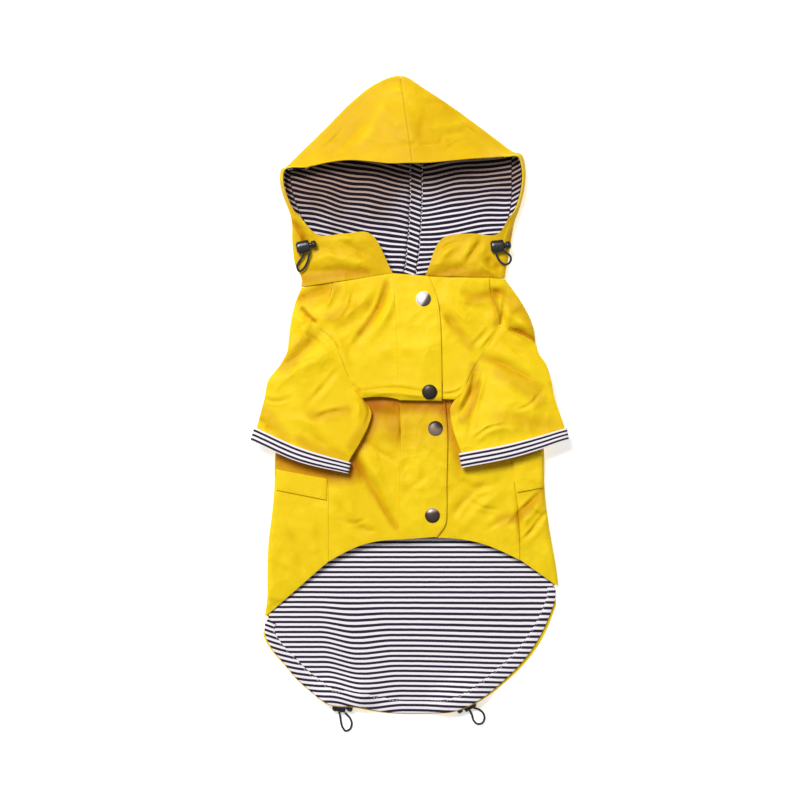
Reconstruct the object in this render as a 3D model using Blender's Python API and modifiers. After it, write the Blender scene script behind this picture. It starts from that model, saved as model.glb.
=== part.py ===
"""A dog raincoat with a hood, laid flat on its back with the belly side up.

Each cut piece of cloth, snap, cord lock and cord loop is one object. The tables give the lie of the cloth in
millimetres: x to the right, y towards the hood, z up from the table top. Left and right are as seen from above.
A cloth piece is a grid, shaped through its table's rows and given its thickness by a Solidify modifier.
"""
import math
from collections import namedtuple

import bmesh
import bpy
import numpy as np
from mathutils import Matrix, Vector
from mathutils.bvhtree import BVHTree

MM = 0.001
CENTRE = np.array([0.4, -0.2, 0.0])  # moves the tables' origin to the middle of the garment's outline

SHELL = 1.2          # coated outer cloth, with its lining where that has no solid of its own
LINING = 0.8         # striped lining cloth
PLACKET = 2.0        # folded and interfaced front strip
SEAM = 0.3           # parting of two pieces where they are sewn or lie on each other
FRONT_SEAM = 0.7     # the same along the placket, which bends over the chest's fold
ARMHOLE_SEAM = 1.7   # the same at the armhole, where the two cloths slope apart
CUFF_EASE = 1.2      # how loosely a cuff goes round its sleeve
LINING_EASE = 0.6    # how loosely the back's lining lies in it
HOOD_EASE = 0.9      # the same in the hood, which bends more sharply
STRIP_HALF = 6.4     # half of the hood lining's centre strip
# How far the linings end short of the shell's edges, as shares of the grid's last span.
LINING_SHORT_SIDE = 0.2
LINING_SHORT_HEM = 0.16
LINING_SHORT_FACE = 0.12
LINING_SHORT_NECK = 0.04
STRIP_SHARES = (0.1, 0.5, 0.9)  # the strip's columns, from the left lining panel's border to the right one's

SNAP_RADIUS = 7.6
SNAP_RISE = 3.3
SNAP_SEAT = 5.0      # over which the placket's slope at a snap is taken
SNAP_STEPS = 18
LOCK_LENGTH = 14.0
LOCK_WIDTH = 12.5
LOCK_RISE = 8.0
BUTTON_LENGTH = 7.0
BUTTON_WIDTH = 8.0
BUTTON_STEPS = 12
LOCK_ROUNDING = 3.7
CORD = 2.2           # diameter of the elastic cord
CORD_POINTS = 19
CLAMP = 2.0          # keeps a wall's inner face from running out at a sharp fold

YELLOW = (0.91, 0.62, 0.01)
STRIPED = (0.62, 0.60, 0.64)
GUNMETAL = (0.16, 0.15, 0.14)
BLACK = (0.02, 0.02, 0.02)

# The body from the neck to the hem corner, down each side: where the side's upper layer ends at the belly seam or
# at the armhole, where the cloth folds over at the outline, and the radius of that fold.
Side = namedtuple("Side", "seam_x seam_y seam_z fold_x fold_y radius")
LEFT_SIDE = [
    Side(-77.0, 112.3, 12.2, -109.0, 107.4, 5.6),
    Side(-82.0, 94.0, 13.0, -115.0, 92.0, 5.8),
    Side(-99.0, 76.0, 14.2, -119.5, 73.0, 5.8),
    Side(-104.0, 58.0, 12.0, -121.5, 57.0, 5.6),
    Side(-105.0, 40.0, 11.4, -123.0, 40.0, 5.4),
    Side(-104.0, 10.0, 11.2, -127.0, 10.0, 5.4),
    Side(-98.0, -25.0, 11.0, -131.0, -25.0, 5.4),
    Side(-90.0, -50.0, 11.0, -134.0, -50.0, 5.4),
    Side(-81.4, -66.0, 11.2, -135.5, -66.0, 5.4),
    Side(-81.4, -93.0, 11.2, -136.0, -93.0, 5.3),
    Side(-81.4, -118.0, 11.2, -138.5, -120.0, 5.2),
    Side(-81.4, -136.0, 11.0, -142.0, -150.0, 5.0),
    Side(-81.4, -149.0, 11.0, -143.0, -180.0, 4.6),
    Side(-81.4, -160.0, 10.8, -143.2, -204.0, 3.4),
    Side(-81.4, -166.6, 10.8, -145.4, -221.0, 1.9),
]
RIGHT_SIDE = [
    Side(79.5, 117.0, 12.2, 95.0, 116.3, 5.6),
    Side(80.5, 104.0, 13.0, 108.5, 98.0, 5.8),
    Side(90.0, 70.0, 14.2, 124.0, 66.0, 5.8),
    Side(100.0, 55.0, 12.0, 126.0, 50.0, 5.6),
    Side(104.0, 40.0, 11.4, 127.5, 35.0, 5.4),
    Side(106.0, 10.0, 11.2, 129.5, 5.0, 5.4),
    Side(105.0, -25.0, 11.0, 132.0, -25.0, 5.4),
    Side(103.0, -50.0, 11.0, 134.0, -50.0, 5.4),
    Side(101.3, -66.0, 11.2, 134.6, -66.0, 5.4),
    Side(106.0, -97.0, 11.2, 134.8, -93.0, 5.3),
    Side(108.5, -118.0, 11.2, 137.3, -118.0, 5.2),
    Side(109.5, -134.0, 11.0, 141.0, -142.0, 5.0),
    Side(110.0, -146.0, 11.0, 144.6, -162.0, 4.6),
    Side(110.0, -157.0, 10.8, 147.2, -178.0, 3.8),
    Side(110.0, -165.0, 10.8, 148.5, -190.0, 3.0),
]
ARM_SPANS, FOLD_SPANS, FLOOR_SPANS = 2, 4, 24
HEM_FLARE = 24       # how late the floor layer widens into the tail, as a power of the way down

# The free edge of the tail, from the left hem corner round to the right one.
TAIL_EDGE = [
    (-144.0, -223.0), (-147.5, -229.0), (-147.2, -240.0), (-139.6, -255.0), (-126.6, -270.0), (-113.6, -285.5),
    (-98.4, -298.5), (-81.0, -310.4), (-55.0, -313.0), (-29.0, -318.0), (3.5, -319.6), (25.0, -319.0),
    (44.7, -317.0), (60.0, -311.5), (79.4, -300.6), (94.5, -288.7), (109.7, -274.6), (122.7, -259.4),
    (133.6, -242.0), (142.0, -222.6), (148.2, -198.7), (147.5, -192.0),
]

# A front panel from the neck to the hem, with the chest's overhanging fold across it: its edge at the placket and
# its edge at the side, and how far a section bows towards the hood between them.
Front = namedtuple("Front", "mid_x mid_y mid_z side_x side_y side_z bow")
FRONT_LEFT = [
    Front(-17.5, 121.4, 14.5, -76.7, 112.3, 13.2, 0.0),
    Front(-15.5, 97.0, 16.0, -81.6, 94.0, 14.4, 0.0),
    Front(-14.0, 76.0, 18.0, -98.4, 76.4, 16.2, 0.0),
    Front(-13.0, 55.0, 20.0, -77.4, 56.3, 18.5, 0.0),
    Front(-12.5, 33.0, 21.5, -67.4, 34.2, 20.5, 0.0),
    Front(-12.0, 12.0, 22.8, -57.3, 11.2, 22.0, 0.0),
    Front(-11.7, 1.5, 23.4, -49.5, 2.6, 22.6, 1.0),
    Front(-11.5, -4.5, 20.8, -44.5, -3.2, 20.2, 2.0),
    Front(-11.3, 2.0, 18.2, -43.0, 3.0, 17.6, 1.0),
    Front(-11.2, 12.0, 17.6, -42.0, 12.0, 17.2, 0.0),
    Front(-11.2, 16.0, 15.6, -42.0, 16.0, 15.3, 0.0),
    Front(-11.0, 12.0, 13.6, -43.0, 12.0, 13.4, 0.0),
    Front(-10.5, -12.0, 14.2, -58.0, -12.0, 13.0, 0.0),
    Front(-9.5, -40.0, 15.0, -74.0, -40.0, 12.4, 0.0),
    Front(-10.0, -66.0, 15.2, -81.0, -66.0, 11.4, 0.0),
    Front(-10.5, -92.0, 15.0, -81.0, -93.0, 11.4, 0.0),
    Front(-11.0, -113.0, 14.6, -81.0, -118.0, 11.4, 2.0),
    Front(-11.2, -130.0, 13.8, -81.0, -142.0, 11.2, 4.0),
    Front(-11.3, -144.6, 12.6, -81.0, -166.6, 11.0, 6.0),
]
FRONT_RIGHT = [
    Front(8.0, 118.0, 13.2, 79.2, 116.9, 13.2, 0.0),
    Front(15.0, 97.0, 15.0, 80.1, 104.0, 14.4, 0.0),
    Front(18.0, 76.0, 16.7, 89.5, 70.4, 16.2, 0.0),
    Front(19.0, 55.0, 18.6, 73.0, 43.2, 18.5, 0.0),
    Front(19.5, 33.0, 20.1, 62.0, 25.2, 20.5, 0.0),
    Front(32.4, 12.0, 20.9, 51.2, 4.6, 22.0, 0.0),
    Front(32.4, 1.5, 21.8, 44.5, 0.0, 22.6, 0.0),
    Front(32.4, -4.0, 19.8, 39.5, -4.6, 20.4, 0.0),
    Front(32.4, 2.0, 17.8, 39.0, 1.5, 17.8, 0.0),
    Front(32.4, 12.0, 17.2, 39.0, 11.0, 17.2, 0.0),
    Front(32.6, 16.0, 14.9, 39.0, 15.0, 15.3, 0.0),
    Front(33.2, 12.0, 12.4, 39.2, 11.0, 13.0, 0.0),
    Front(31.0, -12.0, 12.3, 60.0, -14.0, 13.0, 0.0),
    Front(26.0, -40.0, 13.1, 85.0, -42.0, 12.4, 0.0),
    Front(25.0, -66.0, 13.3, 100.6, -66.0, 11.4, 0.0),
    Front(25.0, -92.0, 13.1, 105.1, -97.0, 11.4, 0.0),
    Front(25.0, -113.0, 12.8, 108.1, -118.0, 11.4, 1.0),
    Front(25.0, -128.0, 12.0, 109.5, -146.0, 11.2, 3.0),
    Front(25.0, -142.9, 11.0, 109.6, -165.0, 11.0, 6.5),
]
FRONT_SPANS = 6

# The placket's free right edge, in the same sections as the left front.
Edge = namedtuple("Edge", "x y z")
PLACKET_EDGE = [
    Edge(19.0, 118.6, 14.6), Edge(27.0, 97.0, 16.4), Edge(30.0, 76.0, 18.2), Edge(31.0, 55.0, 20.2),
    Edge(31.5, 33.0, 21.6), Edge(31.6, 12.0, 22.9), Edge(31.7, 1.0, 23.4), Edge(31.7, -5.2, 20.8),
    Edge(31.7, 2.0, 18.2), Edge(31.7, 12.0, 17.6), Edge(32.0, 16.0, 15.6), Edge(33.0, 12.0, 13.6),
    Edge(35.5, -12.0, 14.3), Edge(37.4, -40.0, 15.0), Edge(37.0, -66.0, 15.2), Edge(36.5, -92.0, 15.0),
    Edge(36.7, -113.0, 14.6), Edge(35.0, -130.0, 13.6), Edge(27.0, -141.8, 12.6),
]
PLACKET_SPANS = 3
PLACKET_PROUD = 0.8  # how far its face stands above the fronts

# The hood from the middle of its brim, round one side of the face opening, to the neck seam: the opening's edge,
# the fold at the outline with its radius and how far round it goes, and the seam up the middle of the back.
Hood = namedtuple("Hood", "edge_x edge_y edge_z fold_x fold_y radius sweep back_x back_y")
HOOD_LEFT = [
    Hood(2.3, 231.5, 38.0, -10.3, 320.0, 5.0, 90, -6.2, 292.0),
    Hood(-3.0, 231.4, 37.9, -15.0, 319.6, 5.0, 90, -5.0, 286.0),
    Hood(-20.0, 231.0, 37.0, -36.0, 311.0, 5.0, 90, 0.0, 268.0),
    Hood(-39.0, 233.0, 35.0, -59.0, 293.0, 5.5, 90, 4.0, 250.0),
    Hood(-59.0, 234.5, 31.0, -84.0, 268.0, 6.0, 90, 6.0, 235.0),
    Hood(-78.0, 233.2, 26.0, -106.0, 246.5, 6.0, 90, 6.2, 222.0),
    Hood(-99.0, 229.0, 21.0, -122.0, 230.5, 6.5, 80, 6.0, 208.0),
    Hood(-124.0, 223.5, 17.5, -130.0, 221.0, 8.0, 60, 5.8, 197.0),
    Hood(-125.5, 213.0, 17.0, -130.0, 212.0, 8.5, 50, 5.5, 189.0),
    Hood(-123.0, 201.0, 16.5, -127.0, 199.0, 8.5, 50, 5.2, 181.0),
    Hood(-118.0, 189.0, 16.0, -122.0, 186.5, 8.0, 50, 4.8, 171.0),
    Hood(-109.0, 177.0, 15.5, -118.5, 172.0, 7.0, 70, 4.0, 160.0),
    Hood(-91.0, 160.0, 14.5, -118.0, 152.0, 6.0, 90, 2.4, 143.0),
    Hood(-65.0, 161.5, 14.5, -115.0, 130.0, 6.0, 90, 1.0, 130.0),
    Hood(-42.0, 162.5, 14.5, -109.5, 119.0, 5.8, 90, -0.6, 121.0),
    Hood(-17.3, 122.1, 14.5, -109.3, 108.3, 5.6, 90, -1.2, 113.3),
]
HOOD_RIGHT = [
    Hood(2.7, 231.5, 38.0, -9.7, 320.0, 5.0, 90, -5.8, 292.0),
    Hood(7.5, 231.5, 37.9, -5.0, 319.2, 5.0, 90, -4.6, 286.0),
    Hood(20.0, 231.8, 37.0, 14.0, 307.5, 5.0, 90, 0.4, 268.0),
    Hood(42.0, 234.0, 35.0, 42.0, 289.0, 5.5, 90, 4.4, 250.0),
    Hood(62.0, 236.0, 31.0, 66.0, 271.5, 6.0, 90, 6.4, 235.0),
    Hood(80.0, 237.5, 26.0, 88.0, 255.0, 6.0, 90, 6.6, 222.0),
    Hood(95.0, 239.0, 21.5, 102.0, 244.5, 6.5, 70, 6.4, 208.0),
    Hood(107.5, 236.0, 18.0, 113.0, 237.5, 7.5, 55, 6.2, 197.0),
    Hood(112.0, 222.0, 17.0, 115.6, 223.0, 8.5, 50, 5.9, 189.0),
    Hood(110.8, 206.0, 16.5, 114.2, 206.0, 8.5, 50, 5.6, 181.0),
    Hood(106.5, 190.0, 16.0, 110.5, 189.0, 8.0, 50, 5.2, 171.0),
    Hood(98.5, 175.0, 15.5, 104.8, 173.0, 7.0, 60, 4.4, 160.0),
    Hood(84.0, 159.8, 14.5, 101.0, 152.0, 6.0, 90, 2.8, 143.0),
    Hood(60.0, 161.5, 14.5, 98.5, 136.0, 6.0, 90, 1.4, 130.0),
    Hood(33.0, 157.0, 14.5, 96.2, 125.0, 5.8, 90, -0.2, 121.0),
    Hood(15.5, 119.7, 14.5, 95.2, 117.0, 5.6, 90, -0.8, 113.3),
]
TOP_SPANS, ARC_SPANS, BACK_SPANS = 5, 4, 5
CROWN_SWELL = 2.0    # how far the hood's upper layer rounds up between its fold and the opening

# A flattened sleeve tube from the armhole to the cuff: its outer and inner creases with the height of its under
# side there, and its depth at each.
Sleeve = namedtuple("Sleeve", "out_x out_y out_z in_x in_y in_z out_deep in_deep")
SLEEVE_LEFT = [
    Sleeve(-120.0, 61.0, 12.4, -58.6, 9.6, 13.9, 4.4, 8.2),
    Sleeve(-122.0, 46.0, 12.2, -51.5, 1.0, 14.2, 6.0, 9.2),
    Sleeve(-130.0, 30.0, 12.0, -43.0, -9.0, 14.4, 7.5, 9.4),
    Sleeve(-141.5, 15.0, 12.0, -38.5, -18.0, 14.6, 8.5, 9.4),
    Sleeve(-145.5, -3.0, 12.4, -42.0, -32.0, 15.4, 9.0, 9.2),
    Sleeve(-150.0, -20.0, 12.8, -50.0, -48.0, 16.0, 9.0, 9.0),
    Sleeve(-153.6, -33.0, 13.0, -61.0, -67.0, 15.8, 8.6, 8.6),
    Sleeve(-157.2, -45.6, 13.0, -63.6, -77.2, 15.6, 8.6, 8.6),
]
SLEEVE_RIGHT = [
    Sleeve(126.5, 49.0, 12.4, 50.4, 1.4, 13.9, 4.4, 8.2),
    Sleeve(129.0, 41.0, 12.2, 44.5, -5.5, 14.2, 6.0, 9.2),
    Sleeve(136.0, 31.0, 12.0, 40.5, -12.0, 14.4, 7.5, 9.4),
    Sleeve(141.0, 15.0, 12.0, 40.0, -20.0, 15.2, 8.5, 9.4),
    Sleeve(144.5, -3.0, 12.4, 42.0, -31.0, 16.2, 9.0, 9.2),
    Sleeve(149.5, -18.0, 12.8, 45.5, -43.0, 16.6, 9.0, 9.0),
    Sleeve(154.6, -33.5, 13.0, 51.0, -58.0, 16.4, 8.6, 8.6),
    Sleeve(156.4, -44.6, 13.0, 53.6, -71.6, 16.2, 8.6, 8.6),
]
# Where the sleeve's upper layer crosses the body's side, from its outer crease to the end of the shoulder seam.
SHOULDER_LEFT = [(-120.0, 61.0, 14.6), (-111.0, 71.5, 15.6)]
SHOULDER_RIGHT = [(126.5, 49.0, 14.6), (109.0, 62.5, 15.6)]
ARMHOLE_START, ARMHOLE_END = 2, 5  # the fronts' sections between which the armhole seam runs
TUBE_SPANS = 8       # across each layer of a flattened tube
ARMHOLE_ROWS = 5     # sections over which the armhole's curve fades into the tube
CUFF_BEYOND = 0.8    # how far a cuff reaches past the sleeve's own end

# A pocket flap's upper and lower edge: beyond the side's fold, on top of the fold, and at its inner end.
FLAP_LIFT = 0.6      # parting of a flap from the side it lies on
FLAP_LEFT = [
    ((-134.0, -74.0), (-130.5, -75.0), (-83.0, -84.0)),
    ((-134.0, -95.0), (-130.7, -95.6), (-83.5, -105.0)),
]
FLAP_RIGHT = [
    ((132.4, -56.7), (129.0, -57.6), (103.0, -65.5)),
    ((133.4, -92.5), (129.5, -93.2), (107.0, -97.5)),
]
FLAP_SPANS = 3       # from the fold to the inner end, and from the upper edge to the lower one

# Broad troughs pressed into the upper cloth: from one end to the other, with their half width and depth.
Trough = namedtuple("Trough", "x0 y0 x1 y1 half depth")
TROUGHS = [
    Trough(-24.0, 112.0, -52.0, 58.0, 9.0, 1.6),
    Trough(-92.0, 60.0, -120.0, 30.0, 11.0, 1.6),
    Trough(52.0, 92.0, 84.0, 82.0, 10.0, 1.8),
    Trough(66.0, 42.0, 128.0, 14.0, 9.0, 1.6),
    Trough(56.0, -22.0, 66.0, 12.0, 8.0, 1.6),
    Trough(-58.0, -58.0, -16.0, -130.0, 9.0, 1.4),
]

SNAPS = [(13.5, 96.0), (19.5, 3.0), (25.5, -33.5), (22.5, -120.5)]

# A cord lock: the middle of its body, the way from there to its button in degrees, the height it lies at, and how
# far it raises the cloth above it.
Lock = namedtuple("Lock", "name x y turn z lift")
LOCKS = [
    Lock("hood_left", -106.8, 148.0, 13.0, 14.4, 0.0),
    Lock("hood_right", 87.6, 148.6, 7.0, 14.0, 0.0),
    Lock("hem_left", -70.5, -311.6, -10.0, 0.0, 9.2),
    Lock("hem_right", 58.5, -309.5, 212.0, 0.0, 10.0),
]
# The cord's middle line in each loop, out of its lock and back.
LOOPS = {
    "hood_left": [
        (-106.8, 140.6, 17.9), (-107.8, 137.6, 16.6), (-110.8, 133.4, 14.9), (-113.0, 128.0, 14.2),
        (-110.6, 123.8, 14.4), (-107.2, 125.6, 14.8), (-103.8, 130.4, 15.6), (-101.8, 135.8, 17.0),
        (-100.6, 140.6, 18.4),
    ],
    "hood_right": [
        (86.2, 141.8, 17.6), (86.8, 139.0, 16.4), (88.6, 135.6, 15.2), (91.8, 132.0, 14.6), (95.6, 130.4, 14.4),
        (99.4, 132.2, 14.2), (101.0, 136.6, 14.6), (99.4, 140.0, 15.8), (95.6, 142.6, 17.6),
    ],
    "hem_left": [
        (-70.8, -318.5, 3.4), (-70.0, -322.0, 2.0), (-69.2, -327.6, 1.3), (-67.4, -333.4, 1.2),
        (-64.6, -336.6, 1.2), (-60.2, -334.8, 1.2), (-58.4, -329.0, 1.2), (-60.2, -323.6, 1.8),
        (-63.6, -319.8, 3.4),
    ],
    "hem_right": [
        (60.3, -316.8, 3.4), (62.0, -320.4, 1.8), (63.4, -325.4, 1.2), (67.0, -329.4, 1.2),
        (72.0, -329.0, 1.2), (74.6, -324.4, 1.2), (73.6, -319.2, 1.3), (70.0, -315.6, 2.0),
        (65.2, -313.8, 3.4),
    ],
}
LIFT_BEYOND = 2.0    # how far past a lock the cloth stays raised
LIFT_REACH = 26.0    # how far beyond that it comes down again


def curve(rows, steps=1):
    """Rows on a smooth curve through a table's rows, with steps - 1 new ones between each two."""
    table = np.array(rows, dtype=float)
    spans = np.linalg.norm(np.diff(table, axis=0), axis=1)[:, None]
    slopes = np.diff(table, axis=0) / spans
    tangents = np.concatenate([slopes[:1], slopes[1:], slopes[-1:]])
    tangents[1:-1] = (slopes[:-1] * spans[1:] + slopes[1:] * spans[:-1]) / (spans[1:] + spans[:-1])
    found = [table[0]]
    for start, end, leave, arrive, span in zip(table, table[1:], tangents, tangents[1:], spans):
        for step in range(1, steps + 1):
            s = step / steps
            found.append(
                start * (2 * s**3 - 3 * s**2 + 1) + leave * span * (s**3 - 2 * s**2 + s)
                + end * (3 * s**2 - 2 * s**3) + arrive * span * (s**3 - s**2)
            )
    return np.array(found)


def evenly(rows, count):
    """Points at even distances along a smooth curve through a table's rows."""
    fine = curve(rows, 8)
    lengths = np.concatenate([[0.0], np.cumsum(np.linalg.norm(np.diff(fine, axis=0), axis=1))])
    stations = np.linspace(0.0, lengths[-1], count)
    return np.stack([np.interp(stations, lengths, column) for column in fine.T], axis=1)


def between(start, end, spans):
    """Points, or whole rows of them, from start to end, both included."""
    start, end = np.asarray(start), np.asarray(end)
    shares = np.linspace(0.0, 1.0, spans + 1).reshape(-1, *[1] * start.ndim)
    return start * (1 - shares) + end * shares


def normals(grid, tube=False):
    """Unit normals at a grid's points."""
    if tube:
        across = np.roll(grid, -1, axis=1) - np.roll(grid, 1, axis=1)
    else:
        across = np.gradient(grid, axis=1)
    found = np.cross(across, np.gradient(grid, axis=0))
    return found / np.linalg.norm(found, axis=2, keepdims=True)


def moved(grid, distance, tube=False):
    """The grid moved out from its outer face, or in where the distance is negative."""
    return grid + distance * normals(grid, tube)


def facing(grid, direction):
    """The grid with its columns turned round if need be, so that its outer face looks that way on the whole."""
    outlook = normals(grid).sum(axis=(0, 1)) @ np.array(direction)
    return grid if outlook > 0 else grid[:, ::-1]


def pressed(grid):
    """The grid's points, lowered where the broad troughs pass under them."""
    result = grid.copy()
    for trough in TROUGHS:
        start = np.array([trough.x0, trough.y0])
        run = np.array([trough.x1, trough.y1]) - start
        place = np.clip(((grid[..., :2] - start) @ run) / (run @ run), 0.0, 1.0)
        off = np.linalg.norm(grid[..., :2] - start - place[..., None] * run, axis=2) / trough.half
        fade = np.sin(np.pi * np.clip(place, 0.08, 0.92))
        result[..., 2] -= trough.depth * fade * np.clip(1 - off**2, 0.0, 1.0) ** 2
    return result


def material(name, colour, roughness, metallic=0.0):
    """A plain Principled material."""
    made = bpy.data.materials.new(name)
    made.use_nodes = True
    shader = made.node_tree.nodes["Principled BSDF"]
    shader.inputs["Base Color"].default_value = (*colour, 1.0)
    shader.inputs["Roughness"].default_value = roughness
    shader.inputs["Metallic"].default_value = metallic
    return made


def add_object(name, mesh, finish, collection):
    """Links a mesh object with a material of its own."""
    mesh.materials.append(material(f"{name}_finish", *finish))
    part = bpy.data.objects.new(name, mesh)
    collection.objects.link(part)
    return part


def cloth(name, grid, thickness, finish, collection, tube=False):
    """A sheet, or a tube where the grid's columns close, as a grid primitive shaped and given its thickness."""
    rows, columns = grid.shape[:2]
    if tube:
        grid = np.concatenate([grid, grid[:, :1]], axis=1)
        columns += 1
    shape = bmesh.new()
    bmesh.ops.create_grid(shape, x_segments=columns - 1, y_segments=rows - 1, size=1.0)
    for vertex in shape.verts:
        column = round((vertex.co.x + 1) / 2 * (columns - 1))
        row = round((vertex.co.y + 1) / 2 * (rows - 1))
        vertex.co = Vector((grid[row, column] + CENTRE) * MM)
    bmesh.ops.remove_doubles(shape, verts=shape.verts, dist=1e-6)
    mesh = bpy.data.meshes.new(name)
    shape.to_mesh(mesh)
    shape.free()
    mesh.shade_smooth()
    part = add_object(name, mesh, finish, collection)
    wall = part.modifiers.new("wall", "SOLIDIFY")
    wall.thickness = thickness * MM
    wall.offset = -1.0
    wall.use_even_offset = True
    wall.thickness_clamp = CLAMP
    return part


def lock_lift(x, y):
    """How far the tail is raised at a place, over the cord locks under its hem."""
    lift = np.zeros_like(x)
    for lock in LOCKS:
        way = math.radians(lock.turn)
        along = (x - lock.x) * math.cos(way) + (y - lock.y) * math.sin(way) - BUTTON_LENGTH / 2
        aside = (y - lock.y) * math.cos(way) - (x - lock.x) * math.sin(way)
        off_along = np.maximum(np.abs(along) - (LOCK_LENGTH + BUTTON_LENGTH) / 2 - LIFT_BEYOND, 0.0)
        off_aside = np.maximum(np.abs(aside) - LOCK_WIDTH / 2 - LIFT_BEYOND, 0.0)
        off = np.clip(np.hypot(off_along, off_aside) / LIFT_REACH, 0.0, 1.0)
        lift = np.maximum(lift, lock.lift * (1 - off * off * (3 - 2 * off)))
    return lift


def side_section(side, inward):
    """One side's section of the body: the upper layer from its seam, and the fold down to the table."""
    seam = (side.seam_x - inward * SEAM, side.seam_y, side.seam_z)
    top = (side.fold_x + inward * side.radius, side.fold_y, 2 * side.radius)
    fold = [
        (
            side.fold_x + inward * side.radius * (1 - math.sin(angle)),
            side.fold_y,
            side.radius * (1 + math.cos(angle)),
        )
        for angle in np.linspace(0.0, math.pi, FOLD_SPANS + 1)
    ]
    return np.concatenate([between(seam, top, ARM_SPANS)[:-1], fold])


def body_grid():
    """The back's outer face: columns from the left belly seam, under the body, to the right one."""
    lefts = [side_section(Side(*row), 1.0) for row in curve(LEFT_SIDE)]
    rights = [side_section(Side(*row), -1.0) for row in curve(RIGHT_SIDE)]
    steps = np.linalg.norm(np.diff(curve(LEFT_SIDE)[:, 3:5], axis=0), axis=1)
    travel = np.concatenate([[0.0], np.cumsum(steps)])
    shares = np.linspace(0.0, 1.0, FLOOR_SPANS + 1)
    sag = evenly(TAIL_EDGE, FLOOR_SPANS + 1) - between(lefts[-1][-1, :2], rights[-1][-1, :2], FLOOR_SPANS)
    sag *= np.minimum(1.0, np.minimum(shares, 1 - shares) * FLOOR_SPANS)[:, None]
    rows = []
    for place, left, right in zip(travel / travel[-1], lefts, rights):
        floor = between(left[-1, :2], right[-1, :2], FLOOR_SPANS) + sag * np.array([place**HEM_FLARE, place])
        lift = lock_lift(floor[:, 0], floor[:, 1])
        rows.append(np.concatenate([left, np.column_stack([floor, lift])[1:-1], right[::-1]]))
    return np.array(rows)


def body_lining_grid(body):
    """The lining's outer face on the body's floor layer, ending just inside the tail's edge."""
    first = ARM_SPANS + FOLD_SPANS
    grid = moved(body, -(SHELL + LINING_EASE))[:, first : first + FLOOR_SPANS + 1].copy()
    grid[:, 0] += (grid[:, 1] - grid[:, 0]) * LINING_SHORT_SIDE
    grid[:, -1] += (grid[:, -2] - grid[:, -1]) * LINING_SHORT_SIDE
    grid[-1] += (grid[-2] - grid[-1]) * LINING_SHORT_HEM
    return grid


def front_grid(table):
    """A front's outer face: rows from the neck to the hem, columns from its middle to its side."""
    rows = []
    for values in curve(table, 2):
        row = Front(*values)
        line = between(
            (row.mid_x, row.mid_y, row.mid_z), (row.side_x, row.side_y, row.side_z), FRONT_SPANS
        )
        line[:, 1] += row.bow * np.sin(np.pi * np.linspace(0.0, 1.0, FRONT_SPANS + 1))
        rows.append(line)
    return facing(pressed(np.array(rows)), (0, 0, 1))


def placket_grid():
    """The placket's outer face, from its seam on the left front to its free edge."""
    seam = curve(FRONT_LEFT, 2)[:, :3] + np.array([FRONT_SEAM, 0.0, 0.0])
    edge = curve(PLACKET_EDGE, 2)
    shares = np.linspace(0.0, 1.0, PLACKET_SPANS + 1)[None, :, None]
    grid = seam[:, None] * (1 - shares) + edge[:, None] * shares
    return moved(facing(grid, (0, 0, 1)), PLACKET_PROUD)


def hood_section(row):
    """One section of the hood: the upper layer from the opening's edge, the fold, and the layer on the table."""
    row = Hood(*row)
    edge, fold, back = (np.array(pair) for pair in (row[0:2], row[3:5], row[7:9]))
    to_edge = (edge - fold) / np.linalg.norm(edge - fold)
    to_back = (back - fold) / np.linalg.norm(back - fold)
    arc = []
    for angle in np.radians(np.linspace(row.sweep, -90.0, ARC_SPANS + 1)):
        way = to_edge if angle > 0 else to_back
        flat = fold + way * row.radius * (1 - math.cos(angle))
        arc.append((*flat, row.radius * (1 + math.sin(angle))))
    top = between((*edge, row.edge_z), arc[0], TOP_SPANS)[:-1]
    shares = np.linspace(1.0, 0.0, TOP_SPANS + 1)[:-1]
    run = np.linalg.norm(edge - fold) / 80
    top[:, 2] = arc[0][2] + (row.edge_z - arc[0][2]) * shares**1.2
    top[:, 2] += CROWN_SWELL * min(run, 1.0) * np.sin(np.pi * shares)
    floor = between(arc[-1], (*back, 0.0), BACK_SPANS)[1:]
    return np.concatenate([top, arc, floor])


def hood_grid(table):
    """A hood half's outer face: rows round the face opening, columns from its edge to the centre back."""
    return facing(np.array([hood_section(row) for row in table]), (0, 0, -1))


def hood_lining_grid(table, side):
    """A hood lining panel's outer face, inside the hood half and parted from the centre strip on its side."""
    grid = hood_grid([row._replace(back_x=row.back_x + side * STRIP_HALF) for row in table[1:]])
    lining = moved(grid, -(SHELL + HOOD_EASE))
    flat = np.isclose(grid[..., 2], 0.0)
    lining[flat] = grid[flat] + np.array([0.0, 0.0, SHELL + HOOD_EASE])
    edge, inner = (0, 1) if grid[0, 0, 2] > grid[0, -1, 2] else (-1, -2)
    lining[:, edge] += (lining[:, inner] - lining[:, edge]) * LINING_SHORT_FACE
    lining[-1] += (lining[-2] - lining[-1]) * LINING_SHORT_NECK
    return lining


def hood_strip_grid(left, right):
    """The centre strip's outer face, filling the way between the two lining panels from the brim to the neck."""
    borders = []
    for grid in (left, right):
        grid = grid if grid[0, 0, 2] > grid[0, -1, 2] else grid[:, ::-1]
        borders.append(np.concatenate([grid[0], grid[1:, -1]]))
    shares = np.array(STRIP_SHARES)[None, :, None]
    grid = borders[0][:, None] * (1 - shares) + borders[1][:, None] * shares
    return facing(grid, (0, 0, -1))


def armhole(front, shoulder, side):
    """The seam that a sleeve's upper layer starts at: over the shoulder, then beside the front's own points."""
    seam = curve(front, 2)[2 * ARMHOLE_START : 2 * ARMHOLE_END + 1, 3:6]
    way = np.gradient(seam[:, :2], axis=0)
    away = np.column_stack([way[:, 1], -way[:, 0]]) * side
    seam[:, :2] += ARMHOLE_SEAM * away / np.linalg.norm(away, axis=1, keepdims=True)
    return np.concatenate([shoulder, seam])


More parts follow.
